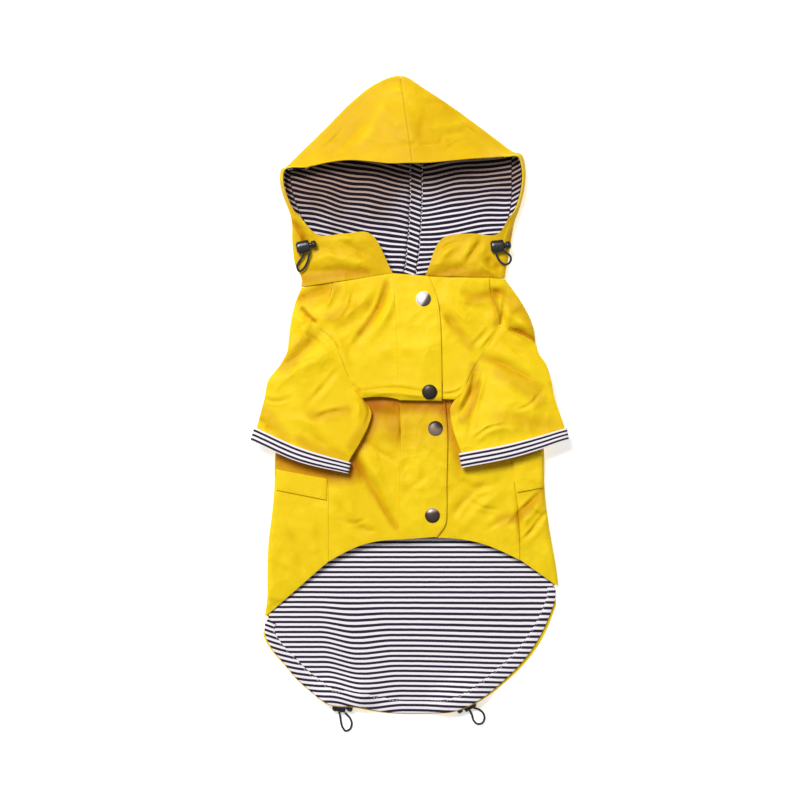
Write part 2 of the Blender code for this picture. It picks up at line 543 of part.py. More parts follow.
def sleeve_grid(table, seam):
    """A sleeve's outer face: rows from the armhole to the cuff, columns over the top and back underneath."""
    shares = (1 - np.cos(np.linspace(0.0, math.pi, TUBE_SPANS + 1))) / 2
    round_off = (1 - np.abs(2 * shares - 1) ** 2.5) ** 0.4
    rows = []
    for number, values in enumerate(curve(table)):
        row = Sleeve(*values)
        outer, inner = np.array(row[0:3]), np.array(row[3:6])
        low = outer * (1 - shares[:, None]) + inner * shares[:, None]
        deep = row.out_deep * (1 - shares) + row.in_deep * shares
        upper, under = low.copy(), low.copy()
        upper[:, 2] += deep / 2 * (1 + round_off)
        under[:, 2] += deep / 2 * (1 - round_off)
        if number == 0:
            shift = seam - upper
            shift[[0, -1]] = 0.0
        fade = max(0.0, 1 - number / ARMHOLE_ROWS) ** 1.5
        upper += shift * fade
        rows.append(np.concatenate([upper, under[-2:0:-1]]))
    grid = np.array(rows)
    grid[:, : TUBE_SPANS + 1] = pressed(grid[:, : TUBE_SPANS + 1])
    outward = normals(grid, tube=True)[:, TUBE_SPANS // 2, 2].sum()
    return grid if outward > 0 else np.roll(grid[:, ::-1], 1, axis=1)


def cuff_grid(sleeve):
    """The cuff's outer face round the sleeve's last stretch, reaching just past its end."""
    start, end = sleeve[-2], sleeve[-1]
    way = (end - start) / np.linalg.norm(end - start, axis=1, keepdims=True)
    band = np.array([start, (start + end) / 2, end + way * CUFF_BEYOND])
    return moved(band, CUFF_EASE + SHELL, tube=True)


def surface(grid):
    """A grid's faces, to be found from above."""
    rows, columns = grid.shape[:2]
    faces = [
        (i * columns + j, i * columns + j + 1, (i + 1) * columns + j + 1, (i + 1) * columns + j)
        for i in range(rows - 1) for j in range(columns - 1)
    ]
    return BVHTree.FromPolygons([Vector(point) for point in grid.reshape(-1, 3)], faces)


def height_on(tree, x, y):
    """The height of the topmost face at a place, or None beside the cloth."""
    hit = tree.ray_cast(Vector((x, y, 100.0)), Vector((0.0, 0.0, -1.0)))[0]
    return None if hit is None else hit.z


def flap_grid(edges, body):
    """A pocket flap's outer face, made from the body's points under it, moved up."""
    under = surface(body)
    top, bottom = (
        np.concatenate([[outer], between(fold, inner, FLAP_SPANS)]) for outer, fold, inner in edges
    )
    rows = []
    for line in between(top, bottom, FLAP_SPANS):
        height = [height_on(under, x, y) for x, y in line]
        rows.append(np.column_stack([line, np.array(height) + FLAP_LIFT + SHELL]))
    return facing(np.array(rows), (0, 0, 1))


def turned(name, profile, steps, placement, finish, collection):
    """A turned piece from its profile, (radius, height) rows running down its outer side."""
    mesh = bpy.data.meshes.new(name)
    points = [(radius * MM, 0.0, height * MM) for radius, height in profile]
    mesh.from_pydata(points, [(i, i + 1) for i in range(len(points) - 1)], [])
    part = add_object(name, mesh, finish, collection)
    part.matrix_world = placement
    screw = part.modifiers.new("turn", "SCREW")
    screw.steps = screw.render_steps = steps
    screw.use_merge_vertices = True
    screw.merge_threshold = 0.00001
    return part


def placed(x, y, z, turn=0.0, tilt=0.0):
    """A placement in world space from table millimetres, turned about z and tilted about y."""
    at = (np.array([x, y, z]) + CENTRE) * MM
    return Matrix.Translation(at) @ Matrix.Rotation(turn, 4, "Z") @ Matrix.Rotation(tilt, 4, "Y")


def snaps(placket, collection):
    """The domed snap caps, each leaning with the placket and clear of it all round its rim."""
    profile = [
        (0.0, SNAP_RISE), (SNAP_RADIUS * 0.45, SNAP_RISE - 0.3), (SNAP_RADIUS * 0.78, SNAP_RISE - 1.1),
        (SNAP_RADIUS * 0.96, SNAP_RISE - 2.2), (SNAP_RADIUS, 0.5), (SNAP_RADIUS - 0.4, 0.0), (0.0, 0.0),
    ]
    under = surface(placket)
    for number, (x, y) in enumerate(SNAPS, start=1):
        seat = height_on(under, x, y)
        lean = math.atan2(height_on(under, x, y + SNAP_SEAT) - seat, SNAP_SEAT)
        for angle in np.linspace(0.0, 2 * math.pi, SNAP_STEPS, endpoint=False):
            aside, along = SNAP_RADIUS * math.cos(angle), SNAP_RADIUS * math.sin(angle)
            height = height_on(under, x + aside, y + along)
            if height is not None:
                seat = max(seat, height - along * math.tan(lean))
        at = placed(x, y, seat + SEAM) @ Matrix.Rotation(lean, 4, "X")
        turned(f"snap_{number}", profile, SNAP_STEPS, at, (GUNMETAL, 0.35, 1.0), collection)


def cord_locks(collection):
    """The cord locks: a rounded body and the push button at its end."""
    for lock in LOCKS:
        shape = bmesh.new()
        bmesh.ops.create_cube(shape, size=1.0)
        size = Vector((LOCK_LENGTH, LOCK_WIDTH, LOCK_RISE)) * MM
        bmesh.ops.scale(shape, vec=size, verts=shape.verts)
        mesh = bpy.data.meshes.new(f"cord_lock_{lock.name}")
        shape.to_mesh(mesh)
        shape.free()
        body = add_object(f"cord_lock_{lock.name}", mesh, (BLACK, 0.4), collection)
        turn = math.radians(lock.turn)
        body.matrix_world = placed(lock.x, lock.y, lock.z + LOCK_RISE / 2, turn)
        rounding = body.modifiers.new("rounding", "BEVEL")
        rounding.width = LOCK_ROUNDING * MM
        rounding.segments = 3
        reach = LOCK_LENGTH / 2 + SEAM
        profile = [
            (0.0, BUTTON_LENGTH), (BUTTON_WIDTH * 0.32, BUTTON_LENGTH - 0.3),
            (BUTTON_WIDTH * 0.46, BUTTON_LENGTH - 1.6), (BUTTON_WIDTH * 0.5, BUTTON_LENGTH - 3.4),
            (BUTTON_WIDTH * 0.4, 0.8), (BUTTON_WIDTH * 0.3, 0.0), (0.0, 0.0),
        ]
        at = placed(
            lock.x + reach * math.cos(turn), lock.y + reach * math.sin(turn), lock.z + BUTTON_WIDTH * 0.5,
            turn, math.pi / 2,
        )
        turned(f"cord_lock_{lock.name}_button", profile, BUTTON_STEPS, at, (BLACK, 0.4), collection)


def cord_loops(collection):
    """The elastic cord's loops."""
    for name, route in LOOPS.items():
        points = evenly(route, CORD_POINTS)
        line = bpy.data.curves.new(f"cord_loop_{name}", "CURVE")
        line.dimensions = "3D"
        spline = line.splines.new("POLY")
        spline.points.add(len(points) - 1)
        for point, place in zip(spline.points, points):
            point.co = (*((place + CENTRE) * MM), 1.0)
        line.bevel_depth = CORD / 2 * MM
        line.bevel_resolution = 2
        line.use_fill_caps = True
        line.materials.append(material(f"cord_loop_{name}_finish", BLACK, 0.8))
        collection.objects.link(bpy.data.objects.new(f"cord_loop_{name}", line))


def main():
    for old in list(bpy.data.objects):
        bpy.data.objects.remove(old, do_unlink=True)
    collection = bpy.data.collections.new("dog_raincoat")
    bpy.context.scene.collection.children.link(collection)
    shell, striped = (YELLOW, 0.45), (STRIPED, 0.85)

    body = body_grid()
    cloth("back_panel", body, SHELL, shell, collection)
    cloth("back_lining", body_lining_grid(body), LINING, striped, collection)
    cloth("front_left", front_grid(FRONT_LEFT), SHELL, shell, collection)
    cloth("front_right", front_grid(FRONT_RIGHT), SHELL, shell, collection)
    placket = placket_grid()
    cloth("placket", placket, PLACKET, shell, collection)

    cloth("hood_left", hood_grid(HOOD_LEFT), SHELL, shell, collection)
    cloth("hood_right", hood_grid(HOOD_RIGHT), SHELL, shell, collection)
    lining_left, lining_right = hood_lining_grid(HOOD_LEFT, -1), hood_lining_grid(HOOD_RIGHT, 1)
    cloth("hood_lining_left", lining_left, LINING, striped, collection)
    cloth("hood_lining_right", lining_right, LINING, striped, collection)
    strip = hood_strip_grid(lining_left, lining_right)
    cloth("hood_lining_strip", strip, LINING, striped, collection)

    sides = [
        ("left", SLEEVE_LEFT, armhole(FRONT_LEFT, SHOULDER_LEFT, 1), FLAP_LEFT),
        ("right", SLEEVE_RIGHT, armhole(FRONT_RIGHT, SHOULDER_RIGHT, -1), FLAP_RIGHT),
    ]
    for side, table, seam, flap in sides:
        sleeve = sleeve_grid(table, seam)
        cloth(f"sleeve_{side}", sleeve, SHELL, shell, collection, tube=True)
        cloth(f"cuff_{side}", cuff_grid(sleeve), SHELL, striped, collection, tube=True)
        cloth(f"pocket_flap_{side}", flap_grid(flap, body), SHELL, shell, collection)

    snaps(placket, collection)
    cord_locks(collection)
    cord_loops(collection)


main()
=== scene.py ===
"""A yellow dog raincoat with a hood, laid flat on its back with the belly side up.

Laid out as an add-on: each operator makes one piece of the coat or a group of like ones, and the panel lists them.
The tables give the lie of the cloth in millimetres: x to the right, y towards the hood, z up from the table top.
Left and right are as seen from above. A cloth piece is a grid shaped through its table's rows, creased by
listed troughs and ridges, and given its thickness by a Solidify modifier.
"""

import math
from collections import namedtuple

import bmesh
import bpy
import numpy as np
from bpy.props import FloatProperty, FloatVectorProperty
from mathutils import Matrix, Vector
from mathutils.bvhtree import BVHTree


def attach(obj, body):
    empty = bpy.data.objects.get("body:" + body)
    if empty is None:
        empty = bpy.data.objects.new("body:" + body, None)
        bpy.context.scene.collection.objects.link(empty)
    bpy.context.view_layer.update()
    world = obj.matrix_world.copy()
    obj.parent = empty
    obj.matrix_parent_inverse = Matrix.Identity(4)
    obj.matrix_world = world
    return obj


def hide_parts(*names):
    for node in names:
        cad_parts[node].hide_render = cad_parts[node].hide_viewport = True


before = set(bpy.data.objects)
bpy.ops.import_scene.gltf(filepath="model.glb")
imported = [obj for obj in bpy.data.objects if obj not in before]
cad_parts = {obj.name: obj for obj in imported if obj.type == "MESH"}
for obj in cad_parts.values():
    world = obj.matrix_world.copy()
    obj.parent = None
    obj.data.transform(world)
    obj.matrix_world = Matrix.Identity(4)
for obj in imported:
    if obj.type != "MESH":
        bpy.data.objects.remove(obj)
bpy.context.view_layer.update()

bl_info = {
    "name": "Dog raincoat",
    "version": (1, 0, 0),
    "blender": (4, 5, 0),
    "location": "View3D > Sidebar > Raincoat",
    "description": "Builds a hooded dog raincoat laid flat, with its lining, snaps, cord locks and sewing",
    "category": "Object",
}

MM = 0.001
CENTRE = np.array([0.4, -0.2, 0.0])  # moves the tables' origin to the middle of the coat's outline

SEAM = 0.3           # parting of two pieces where they are sewn or lie on each other
FRONT_SEAM = 0.1     # the same along the placket, which bends over the chest's fold
ARMHOLE_SEAM = 0.6   # the same at the armhole, where the two cloths slope apart
CUFF_EASE = 1.2      # how loosely a cuff goes round its sleeve
LINING_EASE = 0.6    # how loosely the back's lining lies in it
HOOD_EASE = 0.9      # the same in the hood, which bends more sharply
STRIP_HALF = 6.4     # half of the hood lining's centre strip
SIDE_RIM = 2.4       # how far the back's lining stays inside its folds
FACE_RIM = 2.2       # how far the hood's lining ends short of the face opening
NECK_RIM = 0.5       # the same at the neck
STRIP_SHARES = (0.1, 0.9)  # how far the strip fills the way between the two lining panels

SNAP_SEAT = 5        # over which the placket's slope at a snap is taken
SNAP_FLANGE = 0.6    # thickness of a snap cap's flange
LOCK_LENGTH = 14
LOCK_WIDTH = 12.5
LOCK_RISE = 8
BUTTON_LENGTH = 7
BUTTON_WIDTH = 8
CORD = 2.2           # diameter of the elastic cord
CORD_ENTRY = 1.9     # how far its ends reach into the lock
EDGE_ROUNDING = 0.15  # of a cloth's cut edges
CREASE_DEPTH = 1.4   # how many times as deep as listed the creases are made
CREASE_SHADE = 0.12  # and how much painted shade each millimetre of them puts along their troughs
THREAD = 0.4         # diameter of the sewing thread
STITCH_PITCH = 3.3
TAPE = 0.25          # thickness of the tape behind a seam
TAPE_HALF = 5.6      # how far it reaches to either side
TAPE_GAP = 0.12      # and its parting from the cloth
TAPE_ROWS, TAPE_SEARCH = 140, 900  # places along a seam's one edge, and on the other for the nearest one
CASING = 0.5         # thickness of the tail's casing
LIFT_BEYOND = 2      # how far past a lock the cloth over it stays raised
LIFT_REACH = 26      # how far beyond that it comes down again
PULL_REACH = 6.0     # how far from a sewn edge the cloth is drawn towards it

# The body from the neck to the hem corner, down each side: where the side's upper layer ends at the belly seam or
# at the armhole, where the cloth folds over at the outline, and the radius of that fold.
Side = namedtuple("Side", "seam_x seam_y seam_z fold_x fold_y radius")
LEFT_SIDE = [
    (-77, 112.3, 12.2, -109, 107.4, 5.6),
    (-82, 94, 13, -115, 92, 5.8),
    (-99, 76, 14.2, -119.5, 73, 5.8),
    (-104, 58, 12, -121.5, 57, 5.6),
    (-105, 40, 11.4, -123, 40, 5.4),
    (-104, 10, 11.2, -127, 10, 5.4),
    (-98, -25, 11, -131, -25, 5.4),
    (-90, -50, 11, -134, -50, 5.4),
    (-81.4, -66, 11.2, -135.5, -66, 5.4),
    (-81.4, -93, 11.2, -136, -93, 5.3),
    (-81.4, -118, 11.2, -138.5, -120, 5.2),
    (-81.4, -136, 11, -142, -150, 5),
    (-81.4, -149, 11, -143, -180, 4.6),
    (-81.4, -160, 10.8, -143.2, -204, 3.4),
    (-81.4, -166.6, 10.8, -145.4, -221, 1.9),
]
RIGHT_SIDE = [
    (79.5, 117, 12.2, 95, 116.3, 5.6),
    (80.5, 104, 13, 108.5, 98, 5.8),
    (90, 70, 14.2, 124, 66, 5.8),
    (100, 55, 12, 126, 50, 5.6),
    (104, 40, 11.4, 127.5, 35, 5.4),
    (106, 10, 11.2, 129.5, 5, 5.4),
    (105, -25, 11, 132, -25, 5.4),
    (103, -50, 11, 134, -50, 5.4),
    (101.3, -66, 11.2, 134.6, -66, 5.4),
    (106, -97, 11.2, 134.8, -93, 5.3),
    (108.5, -118, 11.2, 137.3, -118, 5.2),
    (109.5, -134, 11, 141, -142, 5),
    (110, -146, 11, 144.6, -162, 4.6),
    (110, -157, 10.8, 147.2, -178, 3.8),
    (110, -165, 10.8, 148.5, -190, 3),
]
SIDE_STEPS, ARM_SPANS, FOLD_SPANS, FLOOR_SPANS = 10, 32, 10, 96
HEM_FLARE = 24       # how late the floor layer widens into the tail, as a power of the way down
HEM_CORNERS = 24     # the part of the tail's edge that leads over to each hem corner is 1 / HEM_CORNERS

# The free edge of the tail, from the left hem corner round to the right one.
TAIL_EDGE = [
    (-144, -223), (-147.5, -229), (-147.2, -240), (-139.6, -255), (-126.6, -270), (-113.6, -285.5),
    (-98.4, -298.5), (-81, -310.4), (-55, -313), (-29, -318), (3.5, -319.6), (25, -319),
    (44.7, -317), (60, -311.5), (79.4, -300.6), (94.5, -288.7), (109.7, -274.6), (122.7, -259.4),
    (133.6, -242), (142, -222.6), (148.2, -198.7), (147.5, -192),
]

# A front panel from the neck to the hem, with the chest's overhanging fold across it: x, y and z of its edge at the
# placket, the same of its edge at the side, and how far a section bows towards the hood between them.
FRONT_LEFT = [
    (-17.5, 121.4, 14.5, -76.7, 112.3, 13.2, 0),
    (-15.5, 97, 16, -81.6, 94, 14.4, 0),
    (-14, 76, 18, -98.4, 76.4, 16.2, 0),
    (-13, 55, 20, -77.4, 56.3, 18.5, 0),
    (-12.5, 33, 21.5, -67.4, 34.2, 20.5, 0),
    (-12, 12, 22.8, -57.3, 11.2, 22, 0),
    (-11.7, 1.5, 23.4, -49.5, 2.6, 22.6, 1),
    (-11.5, -4.5, 20.8, -44.5, -3.2, 20.2, 2),
    (-11.3, 2, 18.2, -43, 3, 17.6, 1),
    (-11.2, 12, 17.6, -42, 12, 17.2, 0),
    (-11.2, 16, 15.6, -42, 16, 15.3, 0),
    (-11, 12, 13.6, -43, 12, 13.4, 0),
    (-10.5, -12, 14.2, -58, -12, 13, 0),
    (-9.5, -40, 15, -74, -40, 12.4, 0),
    (-10, -66, 15.2, -81.3, -66, 11.4, 0),
    (-10.5, -92, 15, -81.3, -93, 11.4, 0),
    (-11, -113, 14.6, -81.3, -118, 11.4, 2),
    (-11.2, -130, 13.8, -81.3, -142, 11.2, 4),
    (-11.3, -144.6, 12.6, -81.3, -166.6, 11, 6),
]
FRONT_RIGHT = [
    (8, 118, 13.2, 79.2, 116.9, 13.2, 0),
    (15, 97, 15, 80.1, 104, 14.4, 0),
    (18, 76, 16.7, 89.5, 70.4, 16.2, 0),
    (19, 55, 18.6, 73, 43.2, 18.5, 0),
    (19.5, 33, 20.1, 62, 25.2, 20.5, 0),
    (32.4, 12, 20.9, 51.2, 4.6, 22, 0),
    (32.4, 1.5, 21.8, 44.5, 0, 22.6, 0),
    (32.4, -4, 19.8, 39.5, -4.6, 20.4, 0),
    (32.4, 2, 17.8, 39, 1.5, 17.8, 0),
    (32.4, 12, 17.2, 39, 11, 17.2, 0),
    (32.6, 16, 14.9, 39, 15, 15.3, 0),
    (33.2, 12, 12.4, 39.2, 11, 13, 0),
    (31, -12, 12.3, 60, -14, 13, 0),
    (26, -40, 13.1, 85, -42, 12.4, 0),
    (25, -66, 13.3, 100.6, -66, 11.4, 0),
    (25, -92, 13.1, 105.1, -97, 11.4, 0),
    (25, -113, 12.8, 108.1, -118, 11.4, 1),
    (25, -128, 12, 109.5, -146, 11.2, 3),
    (25, -142.9, 11, 109.6, -165, 11, 6.5),
]
FRONT_STEPS, FRONT_SPANS = 12, 44
LIP_ROWS = (56, 62, 92, 106)  # of a front's grid: where its lip starts to be drawn out, is wholly, and ends to be
LIP_REACH = 22.0     # how far in from the side the cloth follows

# The placket's free right edge, in the same sections as the left front.
PLACKET_EDGE = [
    (19, 118.6, 14.6), (27, 97, 16.4), (30, 76, 18.2), (31, 55, 20.2),
    (31.5, 33, 21.6), (31.6, 12, 22.9), (31.7, 1, 23.4), (31.7, -5.2, 20.8),
    (31.7, 2, 18.2), (31.7, 12, 17.6), (32, 16, 15.6), (33, 12, 13.6),
    (35.5, -12, 14.3), (37.4, -40, 15), (37, -66, 15.2), (36.5, -92, 15),
    (36.7, -113, 14.6), (35, -130, 13.6), (27, -141.8, 12.6),
]
PLACKET_SPANS = 22
PLACKET_PROUD = 0.8  # how far its face stands above the fronts

# The hood from the middle of its brim, round one side of the face opening, to the neck seam: the opening's edge,
# the fold at the outline with its radius and how far round it goes, and the seam up the middle of the back.
Hood = namedtuple("Hood", "edge_x edge_y edge_z fold_x fold_y radius sweep back_x back_y")
HOOD_LEFT = [
    (2.3, 231.5, 38, -10.3, 320, 5, 90, -6.2, 292),
    (-3, 231.4, 37.9, -15, 319.6, 5, 90, -5.5, 286),
    (-20, 231, 37, -36, 311, 5, 90, 0, 268),
    (-39, 233, 35, -59, 293, 5.5, 90, 4, 250),
    (-59, 234.5, 31, -84, 268, 6, 90, 6, 235),
    (-78, 233.2, 26, -106, 246.5, 6, 90, 6.2, 222),
    (-99, 229, 21, -122, 230.5, 6.5, 80, 6, 208),
    (-127.2, 223.3, 17.5, -130.2, 221.5, 8, 38, 5.8, 197),
    (-127.6, 213, 17, -130.2, 212, 8.5, 34, 5.5, 189),
    (-124.6, 201, 16.5, -127.2, 199, 8.5, 34, 5.2, 181),
    (-119.6, 189, 16, -122.2, 186.5, 8, 36, 4.8, 171),
    (-109, 177, 15.5, -118.5, 172, 7, 70, 4, 160),
    (-91, 160, 14.5, -118, 152, 6, 90, 2.4, 143),
    (-65, 161.5, 14.5, -115, 130, 6, 90, 1, 130),
    (-42, 162.5, 14.5, -109.5, 119, 5.8, 90, -0.6, 121),
    (-17.3, 122.1, 14.5, -109.3, 108.3, 5.6, 90, -1.2, 113.3),
]
HOOD_RIGHT = [
    (2.7, 231.5, 38, -9.7, 320, 5, 90, -5.8, 292),
    (7.5, 231.5, 37.9, -5, 319.2, 5, 90, -4.6, 286),
    (20, 231.8, 37, 14, 307.5, 5, 90, 0.4, 268),
    (42, 234, 35, 42, 289, 5.5, 90, 4.4, 250),
    (62, 236, 31, 66, 271.5, 6, 90, 6.4, 235),
    (80, 237.5, 26, 88, 255, 6, 90, 6.6, 222),
    (95, 239, 21.5, 102, 244.5, 6.5, 70, 6.4, 208),
    (110, 237, 18, 113.4, 238.5, 7.5, 40, 6.2, 197),
    (113.2, 222, 17, 115.8, 223, 8.5, 34, 5.9, 189),
    (112, 206, 16.5, 114.6, 206, 8.5, 34, 5.6, 181),
    (107.8, 190, 16, 110.5, 189, 8, 36, 5.2, 171),
    (98.5, 175, 15.5, 104.8, 173, 7, 60, 4.4, 160),
    (84, 159.8, 14.5, 101, 152, 6, 90, 2.8, 143),
    (60, 161.5, 14.5, 98.5, 136, 6, 90, 1.4, 130),
    (33, 157, 14.5, 96.2, 125, 5.8, 90, -0.2, 121),
    (15.5, 119.7, 14.5, 95.2, 117, 5.6, 90, -0.8, 113.3),
]
HOOD_STEPS, TOP_SPANS, ARC_SPANS, BACK_SPANS = 12, 48, 10, 30
STRIP_SPANS = 8
CROWN_SWELL = 2      # how far the hood's upper layer rounds up between its fold and the opening
SWELL_RUN = 80       # and how far apart these are where it does so wholly

# A flattened sleeve tube from the armhole to the cuff: x, y and z of its underside at its outer crease, the same at
# its inner one, and its depth at each.
SLEEVE_LEFT = [
    (-120, 61, 12.4, -58.6, 9.6, 13.9, 4.4, 8.2),
    (-122, 46, 12.2, -51.5, 1, 14.2, 6, 9.2),
    (-130, 30, 12, -43, -9, 14.4, 7.5, 9.4),
    (-141.5, 15, 12, -38.5, -18, 14.6, 8.5, 9.4),
    (-145.5, -3, 12.4, -42, -32, 15.4, 9, 9.2),
    (-150, -20, 12.8, -50, -48, 16, 9, 9),
    (-153.6, -33, 13, -61, -67, 15.8, 8.6, 8.6),
    (-157.2, -45.6, 13, -63.6, -77.2, 15.6, 8.6, 8.6),
]
SLEEVE_RIGHT = [
    (126.5, 49, 12.4, 50.4, 1.4, 13.9, 4.4, 8.2),
    (129, 41, 12.2, 44.5, -5.5, 14.2, 6, 9.2),
    (136, 31, 12, 40.5, -12, 14.4, 7.5, 9.4),
    (141, 15, 12, 40, -20, 15.2, 8.5, 9.4),
    (144.5, -3, 12.4, 42, -31, 16.2, 9, 9.2),
    (149.5, -18, 12.8, 45.5, -43, 16.6, 9, 9),
    (154.6, -33.5, 13, 51, -58, 16.4, 8.6, 8.6),
    (156.4, -44.6, 13, 53.6, -71.6, 16.2, 8.6, 8.6),
]
# Where the sleeve's upper layer crosses the body's side, from its outer crease to the end of the shoulder seam.
SHOULDER_LEFT = [(-120, 61, 14.6), (-111, 71.5, 15.6)]
SHOULDER_RIGHT = [(126.5, 49, 14.6), (109, 62.5, 15.6)]
ARMHOLE_START, ARMHOLE_END = 2, 5  # the fronts' sections between which the armhole seam runs
SLEEVE_STEPS, TUBE_SPANS = 14, 88  # along a sleeve between two rows, and across each layer of it
CUFF_SPANS = 8
ARMHOLE_ROWS = 5     # sections over which the armhole's curve fades into the tube
SQUARENESS = 2.5     # of the tube's section: 2 would be an ellipse
FANNING = 0.006      # what keeps the grid's lines apart where they crowd at the armhole's end
CORNER_REACH = 7.0   # how far round that end the cloth is evened out
CUFF_BEYOND = 0.8    # how far a cuff reaches past the sleeve's own end

# A pocket flap's upper and lower edge: beyond the side's fold, on top of the fold, and at its inner end.
FLAP_LIFT = 0.6      # parting of a flap from the side it lies on
FLAP_LEFT = [
    ((-134, -74), (-130.5, -75), (-83, -84)),
    ((-134, -95), (-130.7, -95.6), (-83.5, -105)),
]
FLAP_RIGHT = [
    ((132.4, -56.7), (129, -57.6), (103, -65.5)),
    ((133.4, -92.5), (129.5, -93.2), (107, -97.5)),
]
FLAP_SPANS = 20      # from the fold to the inner end, and from the upper edge to the lower one

# Broad troughs pressed into the upper cloth: from one end to the other, with their half width and depth.
Trough = namedtuple("Trough", "x0 y0 x1 y1 half depth")
TROUGHS = [Trough(*row) for row in (
    (-24, 112, -52, 58, 9, 1.6),
    (-92, 60, -120, 30, 11, 1.6),
    (52, 92, 84, 82, 10, 1.8),
    (66, 42, 128, 14, 9, 1.6),
    (56, -22, 66, 12, 8, 1.6),
    (-58, -58, -16, -130, 9, 1.4),
)]

# A snap's middle, and the painted reflection on its cap: its dark and its light tone, the way from one to the
# other, and where that starts and ends.
SNAPS = [
    ((13.5, 96), (0.13, 0.10, 0.09), (0.90, 0.87, 0.84), (-0.86, 0.5), -3.2, 0.2),
    ((19.5, 3), (0.030, 0.020, 0.016), (0.045, 0.032, 0.024), (-0.7, 0.7), -4, 4),
    ((25.5, -33.5), (0.045, 0.026, 0.018), (0.27, 0.20, 0.15), (-0.25, -0.97), -4.2, 1.6),
    ((22.5, -120.5), (0.065, 0.042, 0.032), (0.50, 0.40, 0.35), (-0.1, 1), 2, 6.4),
]
SIDES = ("left", "right")

# Where the sleeves' inner folds pass the chest's lip, by y and x.
ARMPITS = {
    "left": [(14, -63.4), (9.9, -59.6), (1, -51.6), (-9, -43.2)],
    "right": [(8, 56), (1.7, 50.6), (-5.5, 44.4), (-12, 40.5)],
}
# A cord lock: the middle of its body, the way from there to its button in degrees, the height it lies at, and how
# far it raises the cloth above it.
Lock = namedtuple("Lock", "name x y turn z lift")
LOCKS = [Lock(*row) for row in (
    ("hood_left", -106.8, 148, 13, 14.4, 0),
    ("hood_right", 87.6, 148.6, 7, 14, 0),
    ("hem_left", -70.5, -311.6, -10, 0, 9.2),
    ("hem_right", 58.5, -309.5, 212, 0, 10),
)]
# The cord's middle line in each loop, out of its lock and back.
LOOPS = {
    "hood_left": [
        (-106.8, 140.6, 17.9), (-107.8, 137.6, 16.6), (-110.8, 133.4, 14.9), (-113, 128, 14.2),
        (-110.6, 123.8, 14.4), (-107.2, 125.6, 14.8), (-103.8, 130.4, 15.6), (-101.8, 135.8, 17),
        (-100.6, 140.6, 18.4),
    ],
    "hood_right": [
        (86.2, 141.8, 17.6), (86.8, 139, 16.4), (88.6, 135.6, 15.2), (91.8, 132, 14.6), (95.6, 130.4, 14.4),
        (99.4, 132.2, 14.2), (101, 136.6, 14.6), (99.4, 140, 15.8), (95.6, 142.6, 17.6),
    ],
    "hem_left": [
        (-70.8, -318.5, 3.4), (-70, -322, 2), (-69.2, -327.6, 1.3), (-67.4, -333.4, 1.2), (-64.6, -336.6, 1.2),
        (-60.2, -334.8, 1.2), (-58.4, -329, 1.2), (-60.2, -323.6, 1.8), (-63.6, -319.8, 3.4),
    ],
    "hem_right": [
        (60.3, -316.8, 3.4), (62, -320.4, 1.8), (63.4, -325.4, 1.2), (67, -329.4, 1.2), (72, -329, 1.2),
        (74.6, -324.4, 1.2), (73.6, -319.2, 1.3), (70, -315.6, 2), (65.2, -313.8, 3.4),
    ],
}

# Along the tail's edge, by the share of it passed: how far the lining stays inside the edge, and how deep the
# casing is.
HEM_RIM = [(0, 2), (0.04, 2.2), (0.12, 1), (0.3, 0.9), (0.36, 1.4), (0.42, 0.9), (0.6, 0.9), (0.66, 1.6),
           (0.74, 2.6), (0.86, 3.4), (0.95, 2.6), (1, 2)]
HEM_DEEP = [(0, 12), (0.1, 12.5), (0.2, 15), (0.3, 16.5), (0.4, 15), (0.55, 13), (0.7, 16), (0.85, 14),
            (1, 10)]
